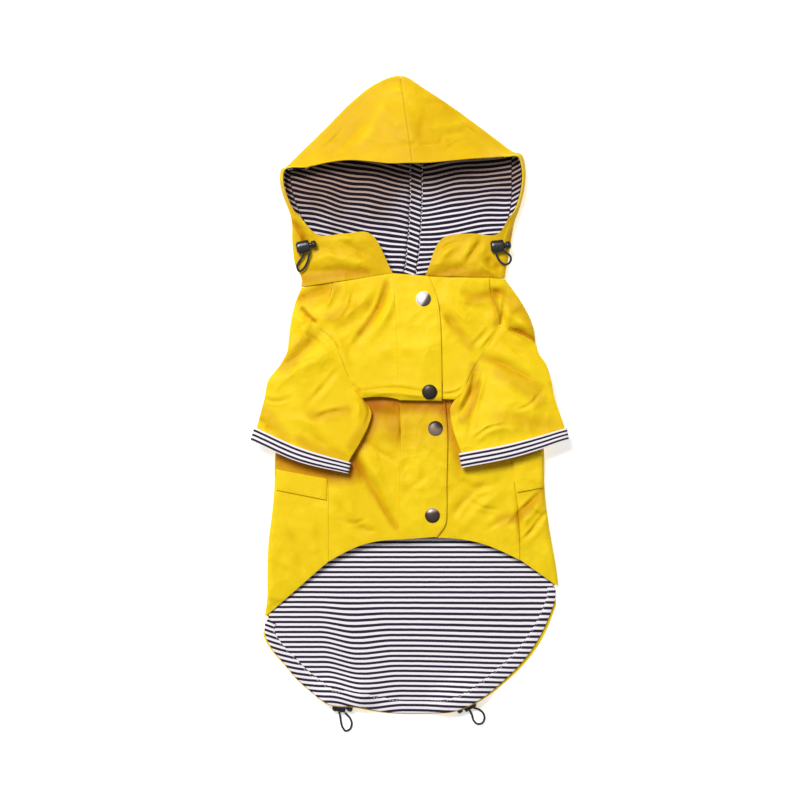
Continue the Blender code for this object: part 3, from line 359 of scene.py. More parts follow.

# Painted shade, darkening the cloth's colour where it lies in the shade of its folds: the pieces, half width,
# darkness, the points of the shade's middle line, and the height it stays under.
Shade = namedtuple("Shade", "pieces half dark points top", defaults=[99])
SHADES = [Shade(*row) for row in (
    ("front_left front_right placket", 13, 0.75, [
        (-42, -7), (-25, -8), (-8, -8), (10, -9), (28, -10), (38, -13)], 18),
    ("front_left", 20, 0.45, [(-25, -9), (-15, -23), (-6, -37)], 18),
    ("front_left", 11, 0.6, [(-36, -9), (-39, -25), (-46, -43), (-56, -57), (-61, -69)], 18),
    ("front_right placket", 9, 0.5, [(34, -11), (39, -29), (44, -45), (49, -61)], 18),
    ("front_left placket front_right", 34, 0.3, [(-38, -25), (0, -29), (38, -29)], 18),
    ("back_panel front_left", 20, 0.85, [(-138, -57), (-118, -65), (-98, -71), (-76, -75), (-60, -75)], 18),
    ("back_panel", 9, 0.4, [(-134, -75), (-118, -82), (-104, -85)], 18),
    ("front_right back_panel", 11, 0.4, [(51, -71), (80, -69), (110, -63), (136, -55)], 18),
    ("hood_left hood_right", 400, 0.3, [(-110, 245), (90, 245)]),
    ("front_left back_panel sleeve_left", 11, 0.35, [(-118, 96), (-104, 98), (-88, 103), (-76, 107)]),
    ("back_panel front_left sleeve_left", 3, 0.7, [(-108, 87), (-101, 80), (-95, 74)]),
    ("front_left sleeve_left", 9, 0.3, [(-80, 77), (-62, 85), (-44, 91)]),
    ("front_left", 6, 0.4, [(-24, 111), (-29, 93), (-38, 77), (-50, 63)]),
    ("sleeve_left", 12, 0.35, [(-100, 59), (-114, 43), (-126, 29)]),
    ("sleeve_left", 12, 0.3, [(-148, -15), (-138, -29), (-126, -45)]),
    ("sleeve_left", 9, 0.3, [(-110, -45), (-90, -57), (-68, -63)]),
    ("sleeve_left", 8, 0.3, [(-64, -15), (-80, -19), (-98, -21)]),
    ("sleeve_left", 8, 0.35, [(-46, -5), (-42, -17), (-48, -35), (-58, -51)]),
    ("front_right back_panel", 8, 0.35, [(60, 95), (78, 99), (92, 105)]),
    ("front_right back_panel", 6, 0.5, [(84, 95), (88, 83), (86, 71)]),
    ("back_panel sleeve_right", 3.5, 0.8, [(100, 66), (114, 61), (126, 55)]),
    ("back_panel", 12, 0.35, [(102, 95), (112, 83), (120, 69)]),
    ("sleeve_right", 7, 0.3, [(70, 39), (90, 31), (114, 17), (130, 7)]),
    ("sleeve_right", 10, 0.3, [(90, 23), (110, 9), (130, -5)]),
    ("sleeve_right front_right", 7, 0.4, [(64, 29), (60, 11), (52, -5), (42, -17)]),
    ("sleeve_right", 6, 0.4, [(68, 11), (62, -11), (52, -25)]),
    ("sleeve_right", 14, 0.25, [(90, -25), (120, -29), (146, -31)]),
    ("front_right", 8, 0.3, [(38, 77), (50, 61), (60, 49)]),
    ("hood_left", 7, 0.4, [(-108, 115), (-80, 119), (-44, 123)]),
    ("hood_right", 6, 0.4, [(18, 119), (46, 123), (80, 119)]),
    ("hood_left", 5, 0.5, [(-118, 173), (-110, 163), (-105, 149)]),
    ("hood_right", 5, 0.4, [(110, 173), (102, 157), (98, 143)]),
    ("back_panel front_right", 7, 0.35, [(135, -95), (120, -109), (104, -125)]),
    ("front_right back_panel", 8, 0.3, [(90, -125), (110, -121), (134, -105)]),
    ("front_left", 5, 0.4, [(-58, -57), (-46, -81), (-26, -115), (-14, -133)]),
)]

# Troughs (positive depth) and ridges (negative) in the upper cloth: the pieces that they cross, half
# width, depth, the points that they pass through, and how far they lean to the left of their way (-0.6 to 0.6).
Crease = namedtuple("Crease", "pieces half depth points lean", defaults=[0])
CREASES = [Crease(*row) for row in (
    # hood
    ("hood_left hood_right", 2.4, 0.7, [(-28, 311), (-19, 314.5), (-8, 313), (3, 310)]),
    ("hood_left hood_right", 7, -0.9, [(-26, 303), (-12, 305), (2, 302)]),
    ("hood_right", 3, 0.8, [(13, 291), (26, 292.5), (42, 290.5)], 0.4),
    ("hood_left hood_right", 3.2, 0.9, [(-16, 257), (-8, 252), (1, 250.5), (9, 254)]),
    ("hood_right", 2.6, 0.8, [(33, 262), (31, 256), (27, 249)], 0.3),
    ("hood_right", 3.4, 0.9, [(37, 259), (46, 262.5), (57, 264)], 0.3),
    ("hood_right", 2.6, 0.8, [(35, 245), (42, 250), (51, 253)], -0.3),
    ("hood_right", 7, -1, [(20, 267), (36, 269), (56, 273), (74, 263)]),
    ("hood_left", 9, 0.9, [(-88, 239), (-72, 247), (-58, 261), (-48, 279)]),
    ("hood_left", 10, -0.9, [(-58, 245), (-44, 259), (-32, 279), (-24, 297)]),
    ("hood_left", 4, 0.7, [(-82, 235), (-72, 238), (-60, 242)]),
    ("hood_right", 8, 0.8, [(14, 277), (10, 263), (13, 249)]),
    ("hood_right", 7, 0.8, [(60, 277), (76, 263), (95, 246)]),
    ("hood_left hood_right", 2.4, 0.45, [
        (-110, 237), (-78, 252), (-59, 254.4), (-39, 252), (-19, 249.5), (1, 249), (26, 251), (50, 254),
        (75, 256), (97, 254)]),
    # chin
    ("hood_left", 5, 2.4, [(-119, 176), (-113, 167), (-106, 155), (-104, 143)], 0.4),
    ("hood_left", 4, -1.3, [(-110, 179), (-104, 169), (-97, 157)]),
    ("hood_left", 8, 1.8, [(-114, 125), (-94, 124), (-70, 125), (-44, 123), (-26, 120)], -0.3),
    ("hood_left", 8, -1.5, [(-100, 133), (-80, 139), (-58, 135), (-36, 127)]),
    ("hood_left", 3.6, 1, [(-72, 155), (-58, 146), (-42, 138), (-26, 129)], 0.4),
    ("hood_left", 6, -1, [(-80, 155), (-64, 157), (-46, 155)]),
    ("hood_left", 5, 1.3, [(-91, 148), (-80, 145), (-70, 139)], 0.3),
    ("hood_right", 3.2, 1.2, [(31, 146), (38, 150), (46, 153)], -0.3),
    ("hood_right", 7, -1.4, [(24, 127), (34, 141), (50, 151)]),
    ("hood_right", 4.5, 1.6, [(71, 159), (67, 149), (60, 139), (54, 131)], 0.3),
    ("hood_right", 6, -1.2, [(62, 157), (56, 145), (48, 133)]),
    ("hood_right", 5, 1.8, [(20, 118), (32, 123), (48, 126), (66, 127)], 0.3),
    ("hood_right", 6, 2, [(76, 139), (83, 131), (94, 125)]),
    ("hood_right", 4, -1, [(70, 133), (78, 125), (88, 120)]),
    ("hood_right", 4, 1.6, [(108, 177), (100, 159), (97, 143)], 0.3),
    # shoulders and chest
    ("back_panel front_left sleeve_left", 9, 2.6, [(-118, 94), (-106, 98), (-92, 104), (-78, 109)], 0.2),
    ("back_panel sleeve_left front_left", 4, 2.2, [(-109, 84), (-103, 78), (-95, 72)]),
    ("back_panel front_left sleeve_left", 6, -1.4, [(-114, 77), (-106, 65), (-102, 53)]),
    ("front_left", 5, -1.6, [(-76, 109), (-79, 98), (-85, 85)]),
    ("front_left", 5.5, 2, [(-22, 115), (-26, 103), (-31, 89), (-39, 75), (-49, 61), (-60, 47)], 0.4),
    ("front_left", 7, -1.4, [(-14, 107), (-19, 91), (-27, 75), (-38, 59)]),
    ("front_left", 9, -1.3, [(-38, 107), (-48, 93), (-60, 83), (-72, 77)]),
    ("front_left sleeve_left", 8, 1.4, [(-76, 65), (-64, 69), (-50, 77)], 0.2),
    ("front_left sleeve_left", 6, -0.9, [(-84, 73), (-72, 57), (-65, 39), (-60, 23)]),
    ("front_left placket", 12, -0.8, [(-44, 39), (-14, 47), (16, 45)]),
    ("front_right", 6, 1.5, [(28, 93), (37, 77), (48, 64), (60, 54)], 0.3),
    ("front_right", 7, -1.1, [(42, 95), (52, 81), (66, 69)]),
    ("front_right back_panel", 7, 2.2, [(48, 103), (62, 98), (78, 99), (92, 99)], 0.3),
    ("front_right back_panel", 6, 2.4, [(78, 107), (88, 102), (98, 95)]),
    ("front_right back_panel sleeve_right", 3.2, 2, [(94, 92), (93, 83), (90, 69)], 0.4),
    ("front_right back_panel", 3.5, -1.2, [(85, 92), (87, 82), (86, 73)]),
    ("back_panel sleeve_right", 4, 2.6, [(98, 68), (110, 63), (126, 54)], 0.4),
    ("back_panel sleeve_right", 6, -1.4, [(96, 79), (110, 74), (124, 65)]),
    ("sleeve_right", 4.2, 1.4, [(68, 42), (80, 35), (95, 29), (112, 20), (133, 8)], 0.4),
    ("sleeve_right", 8, -1.2, [(74, 49), (92, 43), (110, 35), (130, 23)]),
    ("sleeve_right front_right", 3.4, 1.2, [(88, 66), (80, 56), (71, 45)], 0.3),
    ("sleeve_right front_right", 4, 1, [(78, 67), (70, 57), (61, 49)], 0.3),
    ("sleeve_right", 4.5, 2.6, [(64, 23), (62, 9), (58, -5), (50, -19)], 0.3),
    ("sleeve_right", 4, -1.6, [(56, 9), (52, -3), (45, -15)]),
    ("sleeve_right", 4, 1.6, [(72, 23), (68, 5), (62, -17), (60, -37)], -0.3),
    ("sleeve_right", 7, 0.9, [(90, -9), (106, -21), (126, -29), (146, -33)]),
    ("sleeve_right", 8, -0.8, [(76, -35), (96, -33), (120, -35)]),
    ("sleeve_left", 8, 1.5, [(-90, 60), (-102, 49), (-114, 38), (-128, 29)], 0.2),
    ("sleeve_left", 9, -1, [(-80, 45), (-94, 31), (-110, 21)]),
    ("sleeve_left", 4, 1.1, [(-72, 27), (-82, 15), (-92, 3), (-104, -9)], 0.3),
    ("sleeve_left", 4, 1.2, [(-64, -15), (-80, -17), (-96, -23)], 0.3),
    ("sleeve_left", 4, 1.8, [(-53, 6), (-46, -3), (-41, -15), (-44, -29)], 0.3),
    ("sleeve_left", 5, -1.2, [(-58, 1), (-52, -11), (-52, -29)]),
    ("sleeve_left", 4, 1.5, [(-152, -21), (-146, -29), (-138, -38)], 0.3),
    ("sleeve_left", 6, 1, [(-110, -33), (-94, -43), (-78, -55), (-68, -61)]),
    ("sleeve_left", 7, -0.8, [(-124, -25), (-106, -25), (-84, -39)]),
    ("front_left", 2.6, 1.1, [(-60, 11), (-53, 8), (-48, 4), (-46, -2)], 0.2),
    ("front_left placket front_right", 2.8, 0.9, [(-48, 4), (-34, 6), (-14, 7), (10, 4), (34, 2)], 0.2),
    ("front_left placket", 3.4, -0.9, [(-44, 0), (-20, 2), (10, -1), (36, -3)]),
    ("front_right", 2.6, 1.3, [(52, 7), (46, 4), (40, 2), (33, 1)], 0.2),
    ("front_left", 2.2, 0.9, [(-79, 57), (-72, 47), (-65, 33)], 0.3),
    ("sleeve_left", 3, 0.9, [(-110, 65), (-92, 53), (-76, 43)], 0.3),
    ("sleeve_left", 2.6, 0.9, [(-124, 23), (-110, 33), (-94, 37)], -0.3),
    ("sleeve_left", 3, 1, [(-148, -3), (-134, -7), (-118, -3)], 0.3),
    ("sleeve_right", 2.6, 1, [(93, 55), (106, 43), (118, 37)], 0.3),
    ("sleeve_right", 2.6, 1, [(130, 3), (120, -9), (106, -15)], 0.3),
    ("sleeve_right", 2.6, 1, [(64, -43), (78, -33), (94, -29)], -0.3),
    ("front_right", 2.4, 0.9, [(42, 95), (50, 83), (66, 73)], 0.3),
    ("front_left", 2.4, 1, [(-58, 103), (-61, 89), (-68, 77)], 0.3),
    ("hood_left", 2.4, 0.8, [(-90, 245), (-76, 256), (-64, 273)], 0.3),
    ("hood_right", 2.4, 0.8, [(46, 277), (58, 269), (74, 259)], 0.3),
    # belly
    ("front_left", 4.4, 2, [
        (-60, -55), (-53, -69), (-46, -81), (-36, -94), (-26, -114), (-18, -126), (-12, -134)], 0.45),
    ("front_left", 8, -1.6, [(-50, -53), (-38, -71), (-28, -89), (-20, -107)]),
    ("front_left placket", 4, 1.2, [(-51, -43), (-40, -51), (-28, -59), (-13, -68)], 0.3),
    ("front_left", 3.4, 1.4, [(-20, -7), (-13, -12), (-7, -18)], 0.2),
    ("front_left placket", 8, 1.5, [(-38, -15), (-18, -21), (4, -17)]),
    ("front_left", 7, 1, [(-74, -105), (-64, -121), (-48, -135), (-32, -139)]),
    ("front_left", 4, 0.8, [(-52, -129), (-44, -135), (-34, -136)], 0.2),
    ("placket", 7, -0.6, [(0, -45), (8, -75), (4, -105)]),
    ("placket", 6, 0.7, [(-6, -97), (6, -89), (20, -79)], 0.2),
    ("front_right", 6, 1.4, [(42, -125), (50, -111), (62, -99), (76, -87)], 0.3),
    ("front_right", 8, -1.2, [(56, -129), (68, -115), (84, -103), (96, -93)]),
    ("front_right", 5, 1.2, [(42, -75), (52, -87), (66, -93), (90, -87)], 0.2),
    ("front_right", 4, 0.9, [(78, -135), (90, -127), (102, -121)], 0.3),
    ("back_panel front_right", 3.2, 1.6, [(135, -92), (122, -105), (111, -115), (99, -129)], 0.4),
    ("back_panel", 3.4, 1.7, [(139, -113), (130, -124), (120, -137), (110, -146)], 0.4),
    ("back_panel", 6, -1.3, [(136, -103), (124, -116), (112, -131)]),
    ("back_panel front_right", 4, 1.2, [(104, -99), (108, -117), (110, -141), (114, -161)], 0.2),
    ("back_panel", 3, 1.2, [(-142, -206), (-136, -208), (-129, -212)], 0.3),
    ("back_panel", 7, 0.9, [(-126, -125), (-114, -153), (-108, -185)]),
    ("back_panel", 8, -0.9, [(-110, -113), (-98, -137), (-94, -161)]),
    ("front_left", 9, -0.7, [(-68, -81), (-60, -105), (-58, -135)]),
    ("front_left", 2.6, 1.2, [(-54, -75), (-46, -91), (-36, -105)], 0.3),
    ("front_left", 2.4, 0.9, [(-38, -51), (-30, -61), (-26, -75)], -0.3),
    ("front_left placket", 2.4, 1, [(-12, -16), (-10, -31), (-11, -48)], 0.3),
    ("front_right", 2.4, 1.1, [(60, -105), (72, -113), (88, -115)], 0.3),
    ("back_panel", 2.4, 1, [(-126, -83), (-110, -89), (-92, -85)], 0.3),
    ("back_panel", 2.4, 0.9, [(118, -110), (126, -119), (136, -123)], 0.3),
    ("front_left", 2.6, 0.9, [(-70, -125), (-58, -129), (-44, -125)], 0.3),
)]


def curve(rows, steps=1):
    """Rows on a smooth curve through a table's rows, with steps - 1 new ones between each two."""
    table = np.array(rows, dtype=float)
    spans = np.linalg.norm(np.diff(table, axis=0), axis=1)[:, None]
    slopes = np.diff(table, axis=0) / spans
    tangents = np.concatenate([slopes[:1], slopes[1:], slopes[-1:]])
    tangents[1:-1] = (slopes[:-1] * spans[1:] + slopes[1:] * spans[:-1]) / (spans[1:] + spans[:-1])
    found = [table[0]]
    for start, end, leave, arrive, span in zip(table, table[1:], tangents, tangents[1:], spans):
        for step in range(1, steps + 1):
            s = step / steps
            found.append(
                start * (2 * s**3 - 3 * s**2 + 1) + leave * span * (s**3 - 2 * s**2 + s)
                + end * (3 * s**2 - 2 * s**3) + arrive * span * (s**3 - s**2)
            )
    return np.array(found)


def read_at(places, far, values):
    """Values along a line, read at those distances from its start."""
    return np.stack([np.interp(places, far, column) for column in values.T], axis=-1)


def travelled(points):
    """How far along itself a line of points, or each line of a stack of them, has come at each point."""
    steps = np.linalg.norm(np.diff(points, axis=0), axis=-1)
    return np.concatenate([np.zeros_like(steps[:1]), np.cumsum(steps, axis=0)])


def crossed(grid):
    """The same as travelled, but along a grid's rows."""
    return travelled(grid.swapaxes(0, 1)).swapaxes(0, 1)


def evenly(rows, count):
    """Points at even distances along a smooth curve through a table's rows."""
    fine = curve(rows, 8)
    far = travelled(fine)
    return read_at(np.linspace(0.0, far[-1], count), far, fine)


def unit(vectors):
    """The vectors made one long."""
    return vectors / np.linalg.norm(vectors, axis=-1, keepdims=True)


def between(start, end, spans):
    """Points, or whole rows of them, from start to end, both included."""
    start, end = np.asarray(start), np.asarray(end)
    shares = np.linspace(0.0, 1.0, spans + 1).reshape(-1, *[1] * start.ndim)
    return start * (1 - shares) + end * shares


def bridged(one, other, shares):
    """A grid from one line to another, with a column at each share of the way."""
    return one[:, None] * (1 - shares[:, None]) + other[:, None] * shares[:, None]


def smooth(value):
    """A soft step from 0 to 1."""
    value = np.clip(value, 0.0, 1.0)
    return value * value * (3 - 2 * value)


def normals(grid, tube=False):
    """Unit normals at a grid's points."""
    if tube:
        across = np.roll(grid, -1, axis=1) - np.roll(grid, 1, axis=1)
    else:
        across = np.gradient(grid, axis=1)
    found = np.cross(across, np.gradient(grid, axis=0))
    return found / np.maximum(np.linalg.norm(found, axis=2, keepdims=True), 1e-9)


def moved(grid, distance, tube=False):
    """The grid moved out from its outer face, or in where the distance is negative."""
    return grid + distance * normals(grid, tube)


def blurred(field, times, tube=False):
    """A grid's field evened out with its neighbours."""
    for _ in range(times):
        for axis, mode in ((1, "wrap" if tube else "edge"), (0, "edge")):
            lines = np.pad(field.swapaxes(0, axis), [(1, 1)] + [(0, 0)] * (field.ndim - 1), mode)
            field = ((lines[:-2] + 2 * lines[1:-1] + lines[2:]) / 4).swapaxes(0, axis)
    return field


def facing(grid, way=1):
    """The grid with its columns turned round if need be, so that its outer face looks up (or down) on the whole."""
    outlook = np.cross(np.gradient(grid, axis=1), np.gradient(grid, axis=0))[..., 2].sum()
    return grid if outlook * way > 0 else grid[:, ::-1]


def beside(places, line):
    """For flat places: the distance to a line's nearest point, positive on its left, and the share of it passed."""
    lengths = travelled(line)
    best = np.full(len(places), np.inf)
    side, share = np.zeros(len(places)), np.zeros(len(places))
    for start, end, length in zip(line, line[1:], lengths):
        run = end - start
        place = np.clip((places - start) @ run / (run @ run), 0.0, 1.0)
        off = places - start - place[:, None] * run
        far = np.linalg.norm(off, axis=1)
        nearer = far < best
        best[nearer] = far[nearer]
        side[nearer] = np.sign(run[0] * off[nearer, 1] - run[1] * off[nearer, 0])
        share[nearer] = (length + place[nearer] * np.linalg.norm(run)) / lengths[-1]
    return best * np.where(side < 0, -1.0, 1.0), share


def pressed(grid):
    """The grid's points, lowered where the broad troughs pass under them."""
    result = grid.copy()
    for trough in TROUGHS:
        off, share = beside(grid[..., :2].reshape(-1, 2), np.array([trough[:2], trough[2:4]]))
        fade = np.sin(np.pi * np.clip(share, 0.08, 0.92))
        down = trough.depth * fade * np.clip(1 - (off / trough.half) ** 2, 0.0, 1.0) ** 2
        result[..., 2] -= down.reshape(grid.shape[:2])
    return result


def crossing(table, name, places):
    """The rows of a table of lines that cross a piece: each one's number, itself, and beside's answer to it."""
    for number, row in enumerate(table):
        if name in row.pieces.split():
            yield number, row, *beside(places, curve(row.points, 5))


def creased(grid, name, tube=False):
    """The grid with the soft swell of loose cloth, and the creases that cross the piece, where it looks up. How
    deep in painted shade its points then lie, from the creases and the table of shades, is kept by the piece's
    name."""
    flat = grid[..., :2].reshape(-1, 2)
    dark = np.zeros(len(flat))
    x, y = flat.T
    up = smooth(normals(grid, tube)[..., 2].reshape(-1) * 1.6)
    rise = 0.22 * np.sin(x / 9.1 + 1.3 * np.sin(y / 23.0)) * np.sin(y / 13.7 + 0.8 * np.sin(x / 17.0))
    rise += 0.16 * np.sin((x + 0.6 * y) / 6.3 + 2.0) * np.sin((y - 0.4 * x) / 19.0)
    for number, crease, off, share in crossing(CREASES, name, flat):
        reach = crease.half * np.where(off > 0, 1 + crease.lean, 1 - crease.lean)
        u = np.abs(off) / (0.9 * reach)
        run = share * (3.0 + number % 4) + number
        strength = np.sin(np.pi * np.clip(share, 0.03, 0.97)) ** 0.7 * (1 + 0.3 * np.sin(2.6 * run))
        soft, sharp = np.clip(1 - u * u, 0.0, 1.0) ** 2, np.clip(1 - u, 0.0, 1.0) ** 1.7
        shape = 0.4 * soft + 0.6 * sharp - 0.25 * np.clip(1 - ((u - 1.5) / 0.9) ** 2, 0.0, 1.0) ** 2
        rise -= CREASE_DEPTH * crease.depth * strength * shape
        # painted shade along each crease's trough; a ridge takes some of it away
        dark += CREASE_SHADE * crease.depth * strength * (0.3 * soft + 0.9 * sharp**1.3)
    # painted shade from the table of shades, under folds and overhangs
    for _, shade, off, _ in crossing(SHADES, name, flat):
        there = shade.dark * np.clip(1 - (off / shade.half) ** 2, 0.0, 1.0) ** 1.5
        there *= grid[..., 2].reshape(-1) < shade.top
        dark = dark + there * np.clip(1 - dark, 0.0, 1.0)
    PAINTED_SHADE[name] = np.clip(dark * up, 0.0, 1.0)
    turned, lift = (1 - up).reshape(grid.shape[:2]), (rise * up).reshape(grid.shape[:2])
    result = grid.copy()
    result[..., 2] += lift + turned * (blurred(lift, 3, tube) - lift)
    return result


def from_side(field, grid, side):
    """A view of a grid's field, its first index counted from a side: first or last (row), left or right (by x)."""
    if side in ("first", "last"):
        return field if side == "first" else field[::-1]
    leftmost = grid[:, 0, 0].mean() < grid[:, -1, 0].mean()
    return field.swapaxes(0, 1) if leftmost == (side == "left") else field.swapaxes(0, 1)[::-1]


def sewn(grid, closer, reach=2.2, tube=False):
    """The grid drawn closer to its neighbour along its sewn sides and sunk softly there, by so many millimetres."""
    result = grid.copy()
    outward = normals(grid, tube)
    for side, (pull, depth) in closer.items():
        work, away = from_side(result, result, side), from_side(outward, grid, side)
        off = travelled(work)[..., None]
        work += pull * unit(work[0] - work[2]) * np.clip(1 - off / PULL_REACH, 0.0, 1.0)
        work -= depth * away * np.clip(1 - off / reach, 0.0, 1.0) ** 2
    result[..., 2] = np.where(grid[..., 2] < 0.5, np.maximum(result[..., 2], 0.0), result[..., 2])
    return result


def reaching(grid, side):
    """A front's outer face with its lip drawn out at the armpit as far as the sleeve."""
    result = grid.copy()
    work = from_side(result, result, side)
    ways, places = zip(*ARMPITS[side])
    aside = np.interp(work[0, :, 1], ways[::-1], places[::-1]) - work[0, :, 0]
    aside = np.where(aside * places[0] > 0, aside, 0.0)
    aside *= np.interp(np.arange(len(aside)), LIP_ROWS, (0.0, 1.0, 1.0, 0.0))
    far = travelled(work)
    work[..., 0] += aside * smooth(1 - far / np.minimum(0.8 * far[-1], LIP_REACH))
    return result


def inside_of(grid, side, off, sink=0.0, tube=False):
    """The line so far inside a piece's side, and the way out of the cloth along it, sunk under the outer face."""
    work = from_side(np.concatenate([grid, normals(grid, tube)], axis=2), grid, side)[:40]
    far = travelled(work[..., :3])
    line = np.array([read_at(off, far[:, k], work[:, k]) for k in range(work.shape[1])])
    way = unit(line[:, 3:])
    return line[:, :3] - sink * way, way


def unrolled(grid, start, step):
    """Flat places of the points: past the start column they go on along the way that they set off in."""
    flat = grid[..., :2].copy()
    way = unit(grid[:, start, :2] - grid[:, start - 3 * step, :2])
    column, travel = start, 0.0
    while 0 <= column + step < grid.shape[1]:
        travel = travel + np.linalg.norm(grid[:, column + step] - grid[:, column], axis=1)
        column += step
        flat[:, column] = flat[:, start] + way * travel[:, None]
    return flat


def lie(grid, tube=False):
    """Flat places of a piece's points by its own lengths: across from its middle column, and down that one."""
    across = crossed(grid)
    middle = grid.shape[1] // (4 if tube else 2)
    across = across - across[:, middle : middle + 1]
    down = -travelled(grid[:, middle])[:, None] * np.ones((1, grid.shape[1]))
    return np.stack([across, down], axis=2)


def striped(flat, slope):
    """Flat places turned so that the stripes rise to the right by that slope."""
    x, y = flat[..., 0], flat[..., 1]
    return np.stack([x, (y - slope * x) / math.hypot(1.0, slope)], axis=2)


def lock_lift(x, y):
    """How far the tail is raised at a place, over the cord locks under its hem."""
    lift = np.zeros_like(x)
    for lock in LOCKS:
        way = math.radians(lock.turn)
        along = (x - lock.x) * math.cos(way) + (y - lock.y) * math.sin(way) - BUTTON_LENGTH / 2
        aside = (y - lock.y) * math.cos(way) - (x - lock.x) * math.sin(way)
        off_along = np.maximum(np.abs(along) - (LOCK_LENGTH + BUTTON_LENGTH) / 2 - LIFT_BEYOND, 0.0)
        off_aside = np.maximum(np.abs(aside) - LOCK_WIDTH / 2 - LIFT_BEYOND, 0.0)
        off = np.hypot(off_along, off_aside) / LIFT_REACH
        lift = np.maximum(lift, lock.lift * (1 - smooth(off)))
    return lift


def side_section(side, inward):
    """One side's section of the body: the upper layer from its seam, and the fold down to the table."""
    seam = (side.seam_x - inward * SEAM, side.seam_y, side.seam_z)
    top = (side.fold_x + inward * side.radius, side.fold_y, 2 * side.radius)
    angle = np.linspace(0.0, math.pi, FOLD_SPANS + 1)
    across = side.fold_x + inward * side.radius * (1 - np.sin(angle))
    fold = np.column_stack([across, np.full_like(angle, side.fold_y), side.radius * (1 + np.cos(angle))])
    return np.concatenate([between(seam, top, ARM_SPANS)[:-1], fold])


def body_grid(edge=None):
    """The back's outer face: columns from the left belly seam, under the body, to the right one."""
    lefts = [side_section(Side(*row), 1.0) for row in curve(LEFT_SIDE, SIDE_STEPS)]
    rights = [side_section(Side(*row), -1.0) for row in curve(RIGHT_SIDE, SIDE_STEPS)]
    travel = travelled(curve(LEFT_SIDE, SIDE_STEPS)[:, 3:5])
    shares = np.linspace(0.0, 1.0, FLOOR_SPANS + 1)
    hem = evenly(TAIL_EDGE, FLOOR_SPANS + 1) if edge is None else edge
    sag = hem - between(lefts[-1][-1, :2], rights[-1][-1, :2], FLOOR_SPANS)
    sag *= np.minimum(1.0, np.minimum(shares, 1 - shares) * HEM_CORNERS)[:, None]
    rows = []
    for place, left, right in zip(travel / travel[-1], lefts, rights):
        floor = between(left[-1, :2], right[-1, :2], FLOOR_SPANS) + sag * np.array([place**HEM_FLARE, place])
        lift = lock_lift(floor[:, 0], floor[:, 1])
        rows.append(np.concatenate([left, np.column_stack([floor, lift])[1:-1], right[::-1]]))
    return np.array(rows)


def inset(line, distances):
    """A flat line moved to its left by the distances at its points."""
    way = unit(np.gradient(line, axis=0))
    return line + np.column_stack([-way[:, 1], way[:, 0]]) * np.asarray(distances)[:, None]


def hem_lines():
    """The edge of the tail's lining and the casing's stitch line, at even shares of the tail's edge."""
    edge = evenly(TAIL_EDGE, FLOOR_SPANS + 1)
    shares = np.linspace(0.0, 1.0, FLOOR_SPANS + 1)
    rim = np.interp(shares, *np.array(HEM_RIM).T)
    deep = np.interp(shares, *np.array(HEM_DEEP).T)
    return inset(edge, rim), inset(edge, deep)


def body_lining_grid(edge):
    """The lining's outer face on the body's floor layer, ending just inside the tail's edge."""
    first = ARM_SPANS + FOLD_SPANS
    grid = moved(body_grid(edge), -(cloth_values().shell * 1000 + LINING_EASE))[:, first : first + FLOOR_SPANS + 1]
    along = np.linspace(0.0, 1.0, FLOOR_SPANS + 1)
    rims = SIDE_RIM / np.linalg.norm(grid[:, -1] - grid[:, 0], axis=1)
    return np.array([read_at(rim + along * (1 - 2 * rim), along, row) for rim, row in zip(rims, grid)])


def front_grid(table):
    """A front's outer face: rows from the neck to the hem, columns from its middle to its side."""
    rows, shares = curve(table, FRONT_STEPS), np.linspace(0.0, 1.0, FRONT_SPANS + 1)
    grid = np.array([between(row[:3], row[3:6], FRONT_SPANS) for row in rows])
    grid[..., 1] += rows[:, 6:] * np.sin(np.pi * shares)
    return facing(pressed(grid))


def placket_grid():
    """The placket's outer face, from its seam on the left front to its free edge."""
    seam = curve(FRONT_LEFT, FRONT_STEPS)[:, :3] + np.array([FRONT_SEAM, 0.0, 0.0])
    grid = bridged(seam, curve(PLACKET_EDGE, FRONT_STEPS), np.linspace(0.0, 1.0, PLACKET_SPANS + 1))
    return moved(facing(grid), PLACKET_PROUD)


def hood_section(row):
    """One section of the hood: the upper layer from the opening's edge, the fold, and the layer on the table."""
    row = Hood(*row)
    edge, fold, back = (np.array(pair) for pair in (row[0:2], row[3:5], row[7:9]))
    to_edge, to_back = unit(edge - fold), unit(back - fold)
    arc = []
    for angle in np.radians(np.linspace(row.sweep, -90.0, ARC_SPANS + 1)):
        way = to_edge if angle > 0 else to_back
        flat = fold + way * row.radius * (1 - math.cos(angle))
        arc.append((*flat, row.radius * (1 + math.sin(angle))))
    top = between((*edge, row.edge_z), arc[0], TOP_SPANS)[:-1]
    shares = np.linspace(1.0, 0.0, TOP_SPANS + 1)[:-1]
    run = np.linalg.norm(edge - fold) / SWELL_RUN
    top[:, 2] = arc[0][2] + (row.edge_z - arc[0][2]) * shares**1.2
    top[:, 2] += CROWN_SWELL * min(run, 1.0) * np.sin(np.pi * shares)
    floor = between(arc[-1], (*back, 0.0), BACK_SPANS)[1:]
    return np.concatenate([top, arc, floor])


def hood_rows(table):
    """The hood table's rows at the scene's fineness."""
    rows = curve(table, HOOD_STEPS)
    rows[:, 6] = np.clip(rows[:, 6], 32, 90)
    return rows


def hood_grid(rows):
    """A hood half's outer face: rows round the face opening, columns from its edge to the centre back."""
    return facing(np.array([hood_section(row) for row in rows]), -1)


